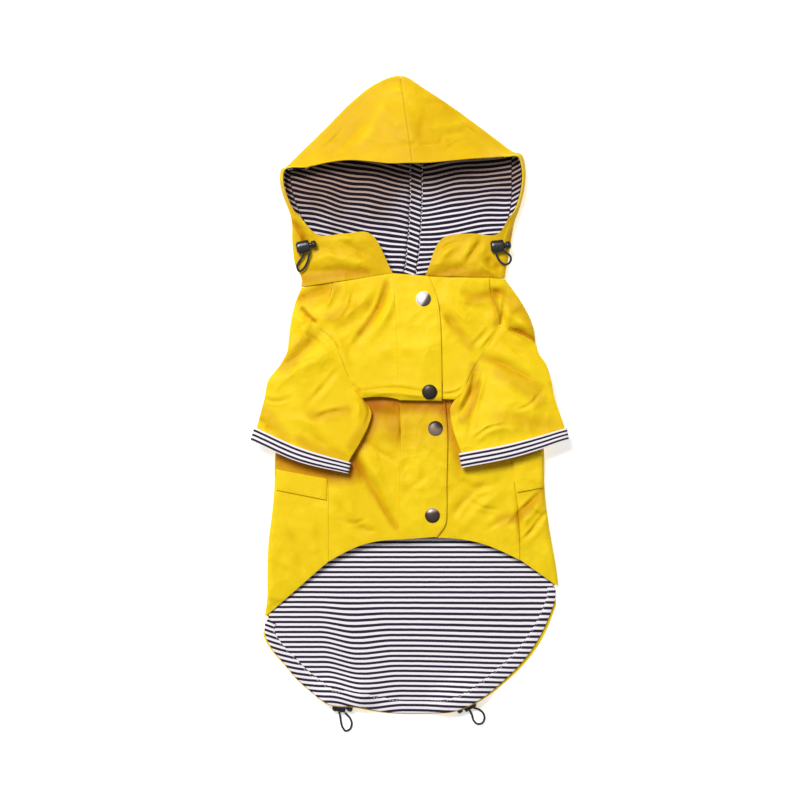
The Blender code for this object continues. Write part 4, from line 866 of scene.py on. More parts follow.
def hood_lining_grid(table, side):
    """A hood lining panel's outer face, inside the hood half and parted from the centre strip on its side."""
    rows = hood_rows(table)[HOOD_STEPS:]
    rows[:, 7] += side * STRIP_HALF
    grid = creased(hood_grid(rows), "hood_left" if side < 0 else "hood_right")
    inset_by = cloth_values().shell * 1000 + HOOD_EASE
    lining = grid - inset_by * unit(blurred(normals(grid), 5))
    flat = np.isclose(grid[..., 2], 0.0)
    lining[flat] = grid[flat] + np.array([0.0, 0.0, inset_by])
    lining[..., 2] = np.maximum(lining[..., 2], inset_by - 0.15)
    if grid[0, 0, 2] < grid[0, -1, 2]:
        lining = lining[:, ::-1]
    lining = shortened(lining, FACE_RIM, 12)
    lining = shortened(lining[::-1].swapaxes(0, 1), NECK_RIM, 6).swapaxes(0, 1)[::-1]
    return facing(lining, -1)


def shortened(grid, rim, spans):
    """The grid's first columns drawn together, so that it ends short of where it did."""
    result = grid.copy()
    for row, place in enumerate(crossed(grid[:, : spans + 1])):
        stations = rim + (place[-1] - rim) * np.linspace(0.0, 1.0, spans + 1)
        result[row, : spans + 1] = read_at(stations, place, grid[row, : spans + 1])
    return result


def hood_strip_grid(left, right):
    """The centre strip's outer face, filling the way between the two lining panels from the brim to the neck."""
    borders = []
    for grid in (left, right):
        grid = grid if grid[0, 0, 2] > grid[0, -1, 2] else grid[:, ::-1]
        borders.append(np.concatenate([grid[0], grid[1:, -1]]))
    return facing(bridged(*borders, np.linspace(*STRIP_SHARES, STRIP_SPANS + 1)), -1)


def armhole(front, shoulder, side):
    """The seam that a sleeve's upper layer starts at: over the shoulder, then beside the front's own points."""
    seam = curve(front, 2)[2 * ARMHOLE_START : 2 * ARMHOLE_END + 1, 3:6]
    way = np.gradient(seam[:, :2], axis=0)
    seam[:, :2] += ARMHOLE_SEAM * unit(np.column_stack([way[:, 1], -way[:, 0]]) * side)
    return curve(np.concatenate([shoulder, seam]), TUBE_SPANS // 8)


def sleeve_grid(table, seam, bulge):
    """A sleeve's outer face: rows from the armhole to the cuff, columns over the top and back underneath."""
    shares = (1 - np.cos(np.linspace(0.0, math.pi, TUBE_SPANS + 1))) / 2
    round_off = (1 - np.abs(2 * shares - 1) ** SQUARENESS) ** (1 / SQUARENESS)
    rows = curve(table, SLEEVE_STEPS)
    upper = bridged(rows[:, :3], rows[:, 3:6], shares)
    under = upper.copy()
    deep = rows[:, 6:7] * (1 - shares) + rows[:, 7:] * shares
    upper[..., 2] += deep / 2 * (1 + round_off)
    under[..., 2] += deep / 2 * (1 - round_off)
    shift = seam - upper[0]
    shift[[0, -1]] = 0.0
    fade = np.maximum(0.0, 1 - np.arange(len(rows)) / SLEEVE_STEPS / ARMHOLE_ROWS) ** 1.5
    upper += shift * fade[:, None, None]
    grid = np.concatenate([upper, under[:, -2:0:-1]], axis=1)
    edge = np.concatenate([seam[TUBE_SPANS // 2 :], grid[1:, TUBE_SPANS]])[::-1]
    side = math.copysign(1.0, grid[0, 0, 0])
    for number in range(1, ARMHOLE_ROWS * SLEEVE_STEPS):
        beside_edge = grid[number, TUBE_SPANS // 2 : TUBE_SPANS]
        inward = 0.05 + FANNING * min(number, 19) * np.minimum(np.arange(len(beside_edge), 0, -1), 14)
        limit = side * np.interp(beside_edge[:, 1], edge[:, 1], edge[:, 0]) + inward
        beside_edge[:, 0] = side * np.maximum(side * beside_edge[:, 0], limit)
    way = unit(grid[-1].mean(axis=0) - grid[-1 - 2 * SLEEVE_STEPS].mean(axis=0))
    across = np.concatenate([shares, shares[-2:0:-1]])
    along = np.linspace(0.0, 1.0, len(grid)) ** 2
    grid += bulge * (along[:, None] * np.sin(np.pi * across) ** 1.3)[..., None] * way
    grid[:, : TUBE_SPANS + 1] = pressed(grid[:, : TUBE_SPANS + 1])
    outward = normals(grid, tube=True)[:, TUBE_SPANS // 2, 2].sum()
    return grid if outward > 0 else np.roll(grid[:, ::-1], 1, axis=1)


def cuff_grid(sleeve):
    """The cuff's outer face round the sleeve's last stretch, reaching just past its end."""
    start, end = sleeve[-1 - SLEEVE_STEPS], sleeve[-1]
    band = between(start, end + unit(end - start) * CUFF_BEYOND, CUFF_SPANS)
    return moved(band, CUFF_EASE + cloth_values().shell * 1000, tube=True)


def cells(grid, tube=False):
    """The row and column of each of a grid's faces, and the faces' corners."""
    rows, columns = grid.shape[:2]
    i, j = np.meshgrid(np.arange(rows - 1), np.arange(columns if tube else columns - 1), indexing="ij")
    i, j = i.ravel(), j.ravel()
    k = (j + 1) % columns
    return i, j, np.column_stack([i * columns + j, i * columns + k, (i + 1) * columns + k, (i + 1) * columns + j])


def surface(grid):
    """A grid's faces, to be found from above."""
    return BVHTree.FromPolygons([Vector(point) for point in grid.reshape(-1, 3)], cells(grid)[2].tolist())


def height_on(tree, x, y):
    """The height of the topmost face at a place, or None beside the cloth."""
    hit = tree.ray_cast(Vector((x, y, 100.0)), Vector((0.0, 0.0, -1.0)))[0]
    return None if hit is None else hit.z


def flap_grid(edges, body):
    """A pocket flap's outer face, made from the body's points under it, moved up."""
    under = surface(body)
    top, bottom = (
        np.concatenate([between(outer, fold, FLAP_SPANS // 4)[:-1], between(fold, inner, FLAP_SPANS)])
        for outer, fold, inner in edges
    )
    rows = []
    for line in between(top, bottom, FLAP_SPANS):
        height = [height_on(under, x, y) for x, y in line]
        rows.append(np.column_stack([line, np.array(height) + FLAP_LIFT + cloth_values().shell * 1000]))
    return facing(np.array(rows))


WAVES = 6283.0       # makes a sine of metres repeat every millimetre
WEAVE = 0.62         # from one yarn of the woven cloth to the next, in millimetres
WALES, COURSES = 0.9, 0.7  # the same for the jersey's loops, across and along
# Beside the face opening the hood's lining has a band at each side: how high its border turns, how fast it bends
# away from there, and where it stands, in millimetres.
LEFT_BAND, RIGHT_BAND = (222.5, 0.006, -119.6), (205.0, 0.0045, 102.3)


def maths(operation, turned=False):
    """A way of Value's that adds a Math node, with the operands turned round if asked."""

    def add(self, *others):
        operands = (self, *others)
        return self.finish.node("ShaderNodeMath", {"operation": operation}, *operands[:: -1 if turned else 1])

    return add


class Value:
    """A node's output. Python's operators on it add Math nodes."""

    def __init__(self, finish, output):
        self.finish, self.output = finish, output

    __add__ = __radd__ = maths("ADD")
    __sub__, __rsub__ = maths("SUBTRACT"), maths("SUBTRACT", turned=True)
    __mul__ = __rmul__ = maths("MULTIPLY")
    __truediv__ = maths("DIVIDE")
    at_least = maths("MAXIMUM")
    fraction, sine, size = maths("FRACT"), maths("SINE"), maths("ABSOLUTE")

    def step(self, low, high):
        """A soft step from 0 at low to 1 at high."""
        settings = {"interpolation_type": "SMOOTHSTEP"}
        return self.finish.node("ShaderNodeMapRange", settings, self, low, high, 0.0, 1.0)


class Finish:
    """A Principled material, and what builds its nodes."""

    def __init__(self, name, roughness, **constants):
        self.material = bpy.data.materials.new(name)
        self.material.use_nodes = True
        self.tree = self.material.node_tree
        self.shader = self.tree.nodes["Principled BSDF"]
        for socket, value in {"Roughness": roughness, **constants}.items():
            self.shader.inputs[socket.replace("_", " ")].default_value = value

    def node(self, kind, settings=None, *values, output=0, **named):
        """Adds a node: its settings first, then its sockets' values or links, by number or by name."""
        made = self.tree.nodes.new(kind)
        for key, value in (settings or {}).items():
            setattr(made, key, value)
        for key, value in [*enumerate(values), *named.items()]:
            socket = made.inputs[key.replace("_", " ") if isinstance(key, str) else key]
            if isinstance(value, Value):
                self.tree.links.new(value.output, socket)
            elif value is not None:
                socket.default_value = value
        return Value(self, made.outputs[output])

    def coordinates(self, source="Object", scale=1.0):
        """Object or UV coordinates, in units of 1 / scale metres."""
        place = self.node("ShaderNodeTexCoord", output=source)
        return self.node("ShaderNodeVectorMath", {"operation": "SCALE"}, place, Scale=scale)

    def noise(self, place, scale, detail=2.0, roughness=0.5, output=0):
        return self.node("ShaderNodeTexNoise", None, place, Scale=scale, Detail=detail, Roughness=roughness,
                         output=output)

    def split(self, place):
        made = self.node("ShaderNodeSeparateXYZ", None, place)
        return [Value(self, output) for output in made.output.node.outputs]

    def mix(self, factor, first, second, blend="MIX"):
        """A colour between two, or one laid on the other."""
        colours = (value if isinstance(value, Value) else (*value[:3], 1.0) for value in (first, second))
        return self.node("ShaderNodeMix", {"data_type": "RGBA", "blend_type": blend}, factor, *[None] * 5, *colours,
                         output=2)

    def relief(self, height, distance, strength=1.0, below=None):
        """A Bump node's normal, on top of another's if that is given."""
        return self.node("ShaderNodeBump", Strength=strength, Distance=distance, Height=height, Normal=below)

    def set(self, **links):
        for socket, value in links.items():
            self.tree.links.new(value.output, self.shader.inputs[socket.replace("_", " ")])
        return self.material


def coated_cloth():
    """Yellow woven cloth under a thin satin coating, with painted shade darkening it towards deep orange where the
    'dark' attribute says.
    """
    known = bpy.data.materials.get("coated_cloth")
    if known:
        return known
    finish = Finish("coated_cloth", 0.44, Specular_IOR_Level=0.09)
    place = finish.coordinates()
    broad = finish.noise(place, 16.0, 3.0)
    blotch = finish.noise(place, 90.0, 3.0)
    light = tuple(cloth_values().shell_colour)
    deep = (light[0] * 0.93, light[1] * 0.87, light[2] * 0.6)
    tone = (broad * 0.6 + blotch * 0.4).step(0.35, 0.68)
    colour = finish.mix(tone, deep, light)
    # painted shade: the yellow darkened towards deep orange by the 'dark' attribute, in creases and under folds
    dark = finish.node("ShaderNodeAttribute", {"attribute_name": "dark"}, output=2)
    colour = finish.mix(dark, colour, finish.mix(1.0, colour, (0.5, 0.19, 0.0, 1.0), "MULTIPLY"))
    across, along, _ = finish.split(finish.coordinates("UV"))
    weave = (along * (WAVES / WEAVE)).sine() * (across * (WAVES / WEAVE)).sine()
    crinkle = finish.noise(place, 260.0, 4.0, 0.6)
    stray = finish.noise(place, 22.0, output=1)
    stray = finish.node("ShaderNodeVectorMath", {"operation": "SCALE"}, stray, Scale=0.03)
    strayed = finish.node("ShaderNodeVectorMath", {"operation": "ADD"}, place, stray)
    large = finish.node("ShaderNodeTexVoronoi", None, strayed, Scale=26.0)
    small = finish.node("ShaderNodeTexVoronoi", None, strayed, Scale=58.0)
    crumpled = (large * 0.7 + small * 0.3) * finish.noise(place, 9.0).step(0.35, 0.65)
    normal = finish.relief(weave, 0.00004, 0.35)
    normal = finish.relief(crinkle, 0.00035, 0.35, normal)
    normal = finish.relief(crumpled, 0.0065, 0.9, normal)
    roughness = blotch * 0.12 + (crinkle * 0.1 + 0.34)
    return finish.set(Base_Color=colour, Normal=normal, Roughness=roughness)


def striped_cloth(name="striped_cloth", pitch=None, shift=0.0, bands_and_brim_shade=False):
    """White cotton jersey with dark stripes across the UV map's second way. Under the brim it has painted shade,
    tinted warm by the yellow cloth above it, and beside the face opening it has bands with their own stripes."""
    known = bpy.data.materials.get(name)
    if known:
        return known
    values = cloth_values()
    finish = Finish(name, 0.85, Specular_IOR_Level=0.1 if bands_and_brim_shade else 0.25, Sheen_Weight=0.05)
    across, along, _ = finish.split(finish.coordinates("UV"))
    place = finish.coordinates()
    wobble = finish.noise(place, 120.0, 1.0) - 0.5
    half = values.stripe_share / 2
    if bands_and_brim_shade:
        x, y, _ = finish.split(finish.coordinates(scale=1000.0))
        upper, lower = LEFT_BAND[0] - y, (RIGHT_BAND[0] - y).at_least(0.0)
        beyond_left = (upper * upper) * LEFT_BAND[1] + LEFT_BAND[2] - x
        beyond_right = (lower * lower) * RIGHT_BAND[1] + x - RIGHT_BAND[2]
        left_band, right_band = beyond_left.step(-0.05, 0.05), beyond_right.step(-0.05, 0.05)
        along = along * (1 - left_band) * (1 - right_band)
        along = along + (y + x * 0.5) * 0.001 * left_band + (y - x * 0.55) * 0.001 * right_band
        half = half + 0.06
    line = ((along + wobble * 0.0003) / (pitch or values.stripe_pitch) + shift).fraction()
    dark = 1 - ((line - 0.5).size()).step(half - 0.035, half + 0.035)
    fleck = finish.noise(place, 2600.0, 2.0)
    ground = finish.mix(fleck.step(0.3, 0.7), (0.86, 0.80, 0.86, 1.0), tuple(values.lining_colour))
    ink = finish.mix(fleck.step(0.35, 0.75), tuple(values.stripe_colour), (0.028, 0.02, 0.045, 1.0))
    colour = finish.mix(dark, ground, ink)
    if bands_and_brim_shade:
        # painted shade under the brim: the lining darkened towards brown in blotches, reaching further from the
        # brim on the left
        cloud = (finish.noise(place, 22.0, 4.0, 0.65) - 0.5) * 60.0
        left, right = (y + cloud).step(146.0, 206.0), (y + cloud * 0.6).step(178.0, 222.0) * 0.95
        share = left + (right - left) * x.step(-36.0, 22.0)
        colour = finish.mix(share, colour, finish.mix(1.0, colour, (0.47, 0.34, 0.26, 1.0), "MULTIPLY"))
        seam = 1 - beyond_left.size().step(0.25, 0.6) * beyond_right.size().step(0.25, 0.6)
        colour = finish.mix(seam * 0.85, colour, (0.02, 0.013, 0.02, 1.0))
    rib = (across * (WAVES / WALES)).sine() * 0.5 + (along * (WAVES / COURSES)).sine() * 0.35
    normal = finish.relief(rib, 0.00006, 0.5)
    normal = finish.relief(finish.noise(place, 300.0, 3.0), 0.0004, 0.3, normal)
    return finish.set(Base_Color=colour, Normal=normal)


def plain_finish(name, colour, roughness, relief, grain=1200.0, worn=0.12, **constants):
    """Moulded plastic or thread, told apart by its numbers. A material that has the name already goes first."""
    known = bpy.data.materials.get(name)
    if known:
        return known
    finish = Finish(name, roughness, **constants)
    place = finish.coordinates()
    fine = finish.noise(place, grain, 3.0)
    broad = finish.noise(place, grain / 9, 2.0)
    pale = tuple(min(1.0, value * (1 + worn * 3) + worn * 0.02) for value in colour[:3])
    tone = finish.mix((broad * 0.5 + fine * 0.5).step(0.42, 0.72), tuple(colour), pale)
    normal = finish.relief(fine, relief, 0.5)
    return finish.set(Base_Color=tone, Normal=normal, Roughness=broad * 0.16 + (roughness - 0.08))


def skin(name, grid, flat, layer, tube=False, caps=()):
    """A mesh through a grid's points, with their flat places as its UV map and caps as further faces."""
    i, j, corners = cells(grid, tube)
    mesh = bpy.data.meshes.new(name)
    mesh.from_pydata(((grid + CENTRE) * MM).reshape(-1, 3).tolist(), [], corners.tolist() + list(caps))
    places = np.stack([flat[i, j], flat[i, j + 1], flat[i + 1, j + 1], flat[i + 1, j]], axis=1).reshape(-1, 2)
    places = np.concatenate([places, np.zeros((sum(len(cap) for cap in caps), 2))])
    mesh.uv_layers.new(name=layer).data.foreach_set("uv", places.astype(np.float32).ravel())
    mesh.shade_smooth()
    return mesh


def added(name, mesh, replaces=()):
    """A finished mesh as a piece of the coat's one body, in the place of the solids that it stands for."""
    piece = bpy.data.objects.new(name, mesh)
    bpy.context.scene.collection.objects.link(piece)
    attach(piece, "root")
    if replaces:
        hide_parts(*replaces)
    return piece


def woven(name, grid, flat, thickness, outside, inside, replaces=(), tube=False, rounded=True,
          plain=None, dark=None):
    """A cloth piece from its outer face's grid and the flat places of its points. Where plain says so, by the
    face's row and column, it has the outer finish inside too. Dark is its points' painted shade."""
    rows, columns = grid.shape[:2]
    if tube:
        flat = np.concatenate([flat, flat[:, -1:] + (flat[:, -1:] - flat[:, -2:-1])], axis=1)
    mesh = skin(name, grid, flat * MM, "cloth", tube)
    # the 'dark' attribute holds the painted shade by which coated_cloth darkens the colour
    mesh.attributes.new("dark", "FLOAT", "POINT").data.foreach_set(
        "value", np.zeros(rows * columns) if dark is None else dark)
    for finish in [outside] + ([] if inside is None else [inside]) + ([] if plain is None else [outside, outside]):
        mesh.materials.append(finish)
    if plain is not None:
        i, j, _ = cells(grid, tube)
        mesh.polygons.foreach_set("material_index", np.where(plain(i, j), 2, 0))
    piece = added(name, mesh, replaces)
    wall = piece.modifiers.new("wall", "SOLIDIFY")
    wall.thickness, wall.offset = thickness, -1.0
    wall.material_offset = 0 if inside is None else 1
    if rounded:
        edge = piece.modifiers.new("edge", "BEVEL")
        edge.width, edge.segments = EDGE_ROUNDING * MM, 2
        edge.limit_method, edge.angle_limit = "ANGLE", math.radians(74)
    across, down = crossed(grid)[:, -1], travelled(grid)[-1]
    if tube:
        across = across + np.linalg.norm(grid[:, 0] - grid[:, -1], axis=1)


class RaincoatClothValues(bpy.types.PropertyGroup):
    """Sizes and colours of the cloth."""

    shell: FloatProperty(
        name="Shell", description="Thickness of the coated outer cloth", default=0.0012, unit="LENGTH")
    lining: FloatProperty(
        name="Lining", description="Thickness of the striped lining", default=0.0008, unit="LENGTH")
    placket: FloatProperty(
        name="Placket", description="Thickness of the folded front strip", default=0.002, unit="LENGTH")
    shell_colour: FloatVectorProperty(
        name="Shell colour", description="Colour of the outer cloth", default=(0.90, 0.645, 0.010), subtype="COLOR",
        min=0, max=1)
    lining_colour: FloatVectorProperty(
        name="Lining colour", description="Ground of the striped lining", default=(0.93, 0.89, 0.93),
        subtype="COLOR", min=0, max=1)
    stripe_colour: FloatVectorProperty(
        name="Stripe colour", description="The lining's stripes", default=(0.012, 0.008, 0.022), subtype="COLOR",
        min=0, max=1)
    stripe_pitch: FloatProperty(
        name="Stripe pitch", description="From one stripe to the next", default=0.005, unit="LENGTH")
    cuff_pitch: FloatProperty(name="Cuff pitch", description="The same on the cuffs", default=0.0044, unit="LENGTH")
    stripe_share: FloatProperty(
        name="Stripe share", description="Share of the pitch that a stripe fills", default=0.505, subtype="FACTOR",
        min=0.05, max=0.95)


class RaincoatTrimValues(bpy.types.PropertyGroup):
    """Sizes and colours of what is set on the cloth."""

    snap_radius: FloatProperty(
        name="Snap radius", description="Radius of a snap's cap", default=0.0076, unit="LENGTH")
    snap_rise: FloatProperty(name="Snap rise", description="Height of a snap's cap", default=0.0033, unit="LENGTH")
    thread_colour: FloatVectorProperty(
        name="Thread colour", description="Yellow sewing thread", default=(0.80, 0.50, 0.008), subtype="COLOR",
        min=0, max=1)
    plastic_colour: FloatVectorProperty(
        name="Lock colour", description="Plastic of the cord locks", default=(0.006, 0.006, 0.007),
        subtype="COLOR", min=0, max=1)
    cord_colour: FloatVectorProperty(
        name="Cord colour", description="Elastic cord", default=(0.012, 0.012, 0.013), subtype="COLOR",
        min=0, max=1)


class RaincoatStageValues(bpy.types.PropertyGroup):
    """The floor, the light and the camera."""

    floor_colour: FloatVectorProperty(
        name="Floor colour", description="Colour of the floor", default=(0.97, 0.97, 0.97), subtype="COLOR",
        min=0, max=1)
    key: FloatProperty(name="Key light", description="Power of the soft light at the upper left", default=250.0)
    fill: FloatProperty(name="Fill light", description="Power of the wide light overhead", default=20.0)
    ambient: FloatProperty(name="Ambient", description="Light from all round", default=0.2, min=0, max=2)
    distance: FloatProperty(name="Distance", description="Camera above the coat", default=5.555, unit="LENGTH")
    lens: FloatProperty(name="Lens", description="Focal length in millimetres", default=250.0)


BELLY_SEAMS = {"left": (0.14, 0.05), "right": (0.12, 0.1)}  # how both sides of these are drawn closer and sunk
GRIDS = {}     # the finished outer faces, kept for what is sewn on or set on afterwards
PAINTED_SHADE = {}  # how deep in painted shade their points lie, which darkens the cloth's colour


def cloth_values():
    return bpy.context.scene.raincoat_cloth


def trim_values():
    return bpy.context.scene.raincoat_trim


class RAINCOAT_OT_stage(bpy.types.Operator):
    """Make the floor, the soft studio light and the camera"""

    bl_idname = "raincoat.stage"
    bl_label = "Stage"

    def execute(self, context):
        values, scene = context.scene.raincoat_stage, context.scene
        bpy.ops.object.select_all(action="DESELECT")
        bpy.ops.mesh.primitive_plane_add(size=8.0, location=(0.0, 0.0, -0.0006))
        floor = context.object
        floor.name = "floor"
        finish = Finish("floor_finish", 0.9, Specular_IOR_Level=0.1, Emission_Color=(1.0, 1.0, 1.0, 1.0),
                        Emission_Strength=0.5)
        grain = finish.noise(finish.coordinates(), 40.0)
        pale = tuple(values.floor_colour)
        floor.data.materials.append(finish.set(Base_Color=finish.mix(grain, pale, [c * 0.985 for c in pale])))
        world = bpy.data.worlds.new("room")
        world.use_nodes = True
        sky = world.node_tree.nodes["Background"].inputs
        sky["Color"].default_value, sky["Strength"].default_value = (1.0, 1.0, 1.0, 1.0), values.ambient
        scene.world = world
        for name, place, size, power in (
            ("key_light", (-1.5, 2.3, 4.2), 2.0, values.key),
            ("fill_light", (0.3, -0.4, 4.2), 5.0, values.fill),
        ):
            lamp = bpy.data.lights.new(name, "AREA")
            lamp.shape, lamp.size, lamp.energy = "DISK", size, power
            holder = bpy.data.objects.new(name, lamp)
            holder.location = place
            holder.rotation_euler = (-Vector(place)).to_track_quat("-Z", "Y").to_euler()
            scene.collection.objects.link(holder)
        camera = bpy.data.cameras.new("camera")
        camera.lens, camera.sensor_width = values.lens, 36.0
        camera.clip_start, camera.clip_end = 0.1, 50.0
        holder = bpy.data.objects.new("camera", camera)
        holder.location = (-0.0096, 0.0008, values.distance + 0.015)
        scene.collection.objects.link(holder)
        scene.camera = holder
        scene.view_settings.view_transform = "Standard"
        return {"FINISHED"}


def tail_wave(x, y):
    """How far the stripes of the tail's lining have sunk at a place."""
    deep = smooth((-188 - y) / 75.0)
    lean = (-230 - y) * 0.16
    down = smooth((x - lean + 92) / 34) - 0.42 * smooth((x - lean + 54) / 34) + 0.4 * smooth((x + 10) / 130)
    return 6.8 * deep * down


class RAINCOAT_OT_body(bpy.types.Operator):
    """Make the back with its tail, its lining and the casing along the tail's hem"""

    bl_idname = "raincoat.body"
    bl_label = "Body"

    def execute(self, context):
        values = cloth_values()
        body = body_grid()
        first = ARM_SPANS + FOLD_SPANS
        flat = unrolled(body, first + FLOOR_SPANS, 1)
        left = unrolled(body, first, -1)
        flat[:, :first] = left[:, :first]
        outer = sewn(creased(body, "back_panel"), {**BELLY_SEAMS, "first": (0.4, 0.2)})
        GRIDS["back"] = outer
        woven("back_shell", outer, flat, values.shell, coated_cloth(), striped_cloth(),
              ["back_panel"], dark=PAINTED_SHADE["back_panel"],
              plain=lambda row, column: (column >= first) & (column < first + FLOOR_SPANS))
        edge, stitch = hem_lines()
        lining = body_lining_grid(edge)
        flat = lining[..., :2].copy()
        flat[..., 1] += tail_wave(lining[..., 0], lining[..., 1])
        woven("back_lining_cloth", creased(lining, "back_lining"), flat, values.lining, striped_cloth(), None,
              ["back_lining"], rounded=False)
        shares = np.linspace(0.0, 1.0, 9)
        band = bridged(edge, stitch, shares)
        lift = lock_lift(band[..., 0], band[..., 1]) + (values.shell + values.lining) * 1000 + LINING_EASE + 0.15
        band = np.concatenate([band, (lift + 0.7 * np.sin(np.pi * shares))[..., None]], axis=2)
        far = np.clip((band[..., 0] + 146) / 62, 0.0, 1.0)
        flat = band[..., :2].copy()
        flat[..., 1] += tail_wave(flat[..., 0], flat[..., 1]) + 24 * (far - far * far / 2) + 2.2
        band, flat = (band, flat) if normals(band)[..., 2].sum() < 0 else (band[:, ::-1], flat[:, ::-1])
        column = 7 if np.abs(band[48, -1, 1]) < np.abs(band[48, 0, 1]) else 1
        GRIDS["casing_line"] = moved(band, -CASING)[:, column], -normals(band)[:, column]
        woven("tail_casing", band, flat, CASING * MM, striped_cloth(), None)
        return {"FINISHED"}


def tape(name, one, other):
    """The tape behind a seam, from the edge and inner lines of the pieces that meet at it."""
    near, beyond = (
        [read_at(np.linspace(0.0, far[-1], count), far, line) for line in lines]
        for lines, count, far in ((one, TAPE_ROWS, travelled(one[0])), (other, TAPE_SEARCH, travelled(other[0])))
    )
    nearest = np.linalg.norm(near[0][:, None] - beyond[0][None], axis=2).argmin(axis=1)
    onward = np.append(True, np.diff(np.maximum.accumulate(nearest)) > 0)
    nearest = nearest[onward]
    grid = np.stack([near[1][onward], near[0][onward], beyond[0][nearest], beyond[1][nearest]], axis=1)
    grid = facing(grid)
    across, along = crossed(grid).mean(axis=0), travelled(grid).mean(axis=1)
    woven(name, grid, np.stack(np.meshgrid(across, along), axis=2), TAPE * MM, coated_cloth(), None,
          rounded=False)


class RAINCOAT_OT_tapes(bpy.types.Operator):
    """Make the tapes that lie behind the seams"""

    bl_idname = "raincoat.tapes"
    bl_label = "Seam tapes"

    def execute(self, context):
        under = cloth_values().shell * 1000 + TAPE_GAP

        def lines(piece, side, test, order, tube=False):
            edge, out = inside_of(GRIDS[piece], side, 0.0, tube=tube)
            inner, way = inside_of(GRIDS[piece], side, TAPE_HALF, under, tube)
            kept = test(*edge.T) & (way[:, 2] > 0.1)
            turn = np.argsort(edge[kept][:, order] * (1 if order == 0 else -1))
            return (edge - under * out)[kept][turn], inner[kept][turn]

        for side, mark in (("left", -1), ("right", 1)):
            neck = lines(f"hood_{side}", "last", lambda x, y, z: z > 10.5, 0)
            front = lines(f"front_{side}", "first", lambda x, y, z: (z > 5) & (x * mark > 14), 0)
            back = lines("back", "first", lambda x, y, z: (z > 9) & (x * mark > 74), 0)
            tape(f"neck_tape_{side}", neck, [np.concatenate(pair[::-mark]) for pair in zip(back, front)])
            for name, low, high in (("shoulder", 77, 125), ("belly", -172, -60)):
                seam = [lines(piece, side, lambda x, y, z, low=low, high=high: (y > low) & (y < high), 1)
                        for piece in (f"front_{side}", "back")]
                tape(f"{name}_tape_{side}", *seam)
            low, high, out = {"left": (8, 77, 98), "right": (0, 71, 90)}[side]

            def at_armhole(x, y, z):
                return (y > low) & (y < high) & (x * mark > 47) & (x * mark < out) & (z > 14.5)

            tape(f"armhole_tape_{side}", lines(f"front_{side}", side, at_armhole, 1),
                 lines(f"sleeve_{side}", "first", at_armhole, 1, True))
        crown = [lines(f"hood_{side}", "first", lambda x, y, z: z > 9, 1) for side in ("left", "right")]
        tape("crown_tape", *crown)
        return {"FINISHED"}


class RAINCOAT_OT_fronts(bpy.types.Operator):
    """Make the two belly fronts and the placket"""

    bl_idname = "raincoat.fronts"
    bl_label = "Fronts"

    def execute(self, context):
        values = cloth_values()
        for side, table in (("left", FRONT_LEFT), ("right", FRONT_RIGHT)):
            grid = front_grid(table)
            outer = sewn(creased(grid, f"front_{side}"), {"first": (0.4, 0.2), side: BELLY_SEAMS[side]})
            outer = GRIDS[f"front_{side}"] = reaching(outer, side)
            woven(f"front_{side}_cloth", outer, lie(grid), values.shell, coated_cloth(), striped_cloth(),
                  [f"front_{side}"], dark=PAINTED_SHADE[f"front_{side}"],
                  plain=lambda row, column: (row > 40) & (row < 150))
        grid = placket_grid()
        outer = GRIDS["placket"] = sewn(creased(grid, "placket"), {"first": (0.4, 0.4)})
        woven("placket_cloth", outer, lie(grid), values.placket, coated_cloth(), None,
              ["placket"], dark=PAINTED_SHADE["placket"])
        return {"FINISHED"}


def hood_wave(x, y):
    """How far the stripes of the hood's lining stray at a place."""
    return 1.1 * np.sin(x / 13.0 + y / 31.0) + 0.7 * np.sin(x / 6.7 - y / 17.0 + 1.0) * np.cos(y / 21.0)


class RAINCOAT_OT_hood(bpy.types.Operator):
    """Make the hood's two halves, its lining panels and the strip between them"""

    bl_idname = "raincoat.hood"
    bl_label = "Hood"

    def execute(self, context):
        values = cloth_values()
        bands_and_brim_shade = striped_cloth("bands_and_brim_shade_cloth", bands_and_brim_shade=True)
        linings = []
        for side, table, away, slope in (("left", HOOD_LEFT, -1, -0.2), ("right", HOOD_RIGHT, 1, 0.13)):
            grid = hood_grid(hood_rows(table))
            outer = GRIDS[f"hood_{side}"] = sewn(creased(grid, f"hood_{side}"), {
                "first": (0.15, 0.3), "last": (0.1, 0.2)})
            woven(f"hood_{side}_cloth", outer, lie(grid), values.shell, coated_cloth(), striped_cloth(),
                  [f"hood_{side}"], dark=PAINTED_SHADE[f"hood_{side}"])
            lining = hood_lining_grid(table, away)
            start, step = (ARC_SPANS + TOP_SPANS, -1) if lining[0, 0, 2] > lining[0, -1, 2] else (BACK_SPANS, 1)
            flat = striped(unrolled(lining, start, step), slope)
            flat[..., 1] += hood_wave(lining[..., 0], lining[..., 1])
            woven(f"hood_lining_{side}_cloth", lining, flat, values.lining, bands_and_brim_shade, None,
                  [f"hood_lining_{side}"], rounded=False)
            linings.append(lining)
        strip = hood_strip_grid(*linings)
        woven("hood_strip_cloth", strip, striped(strip[..., :2], -0.36), values.lining, bands_and_brim_shade, None,
              ["hood_lining_strip"], rounded=False)
        return {"FINISHED"}


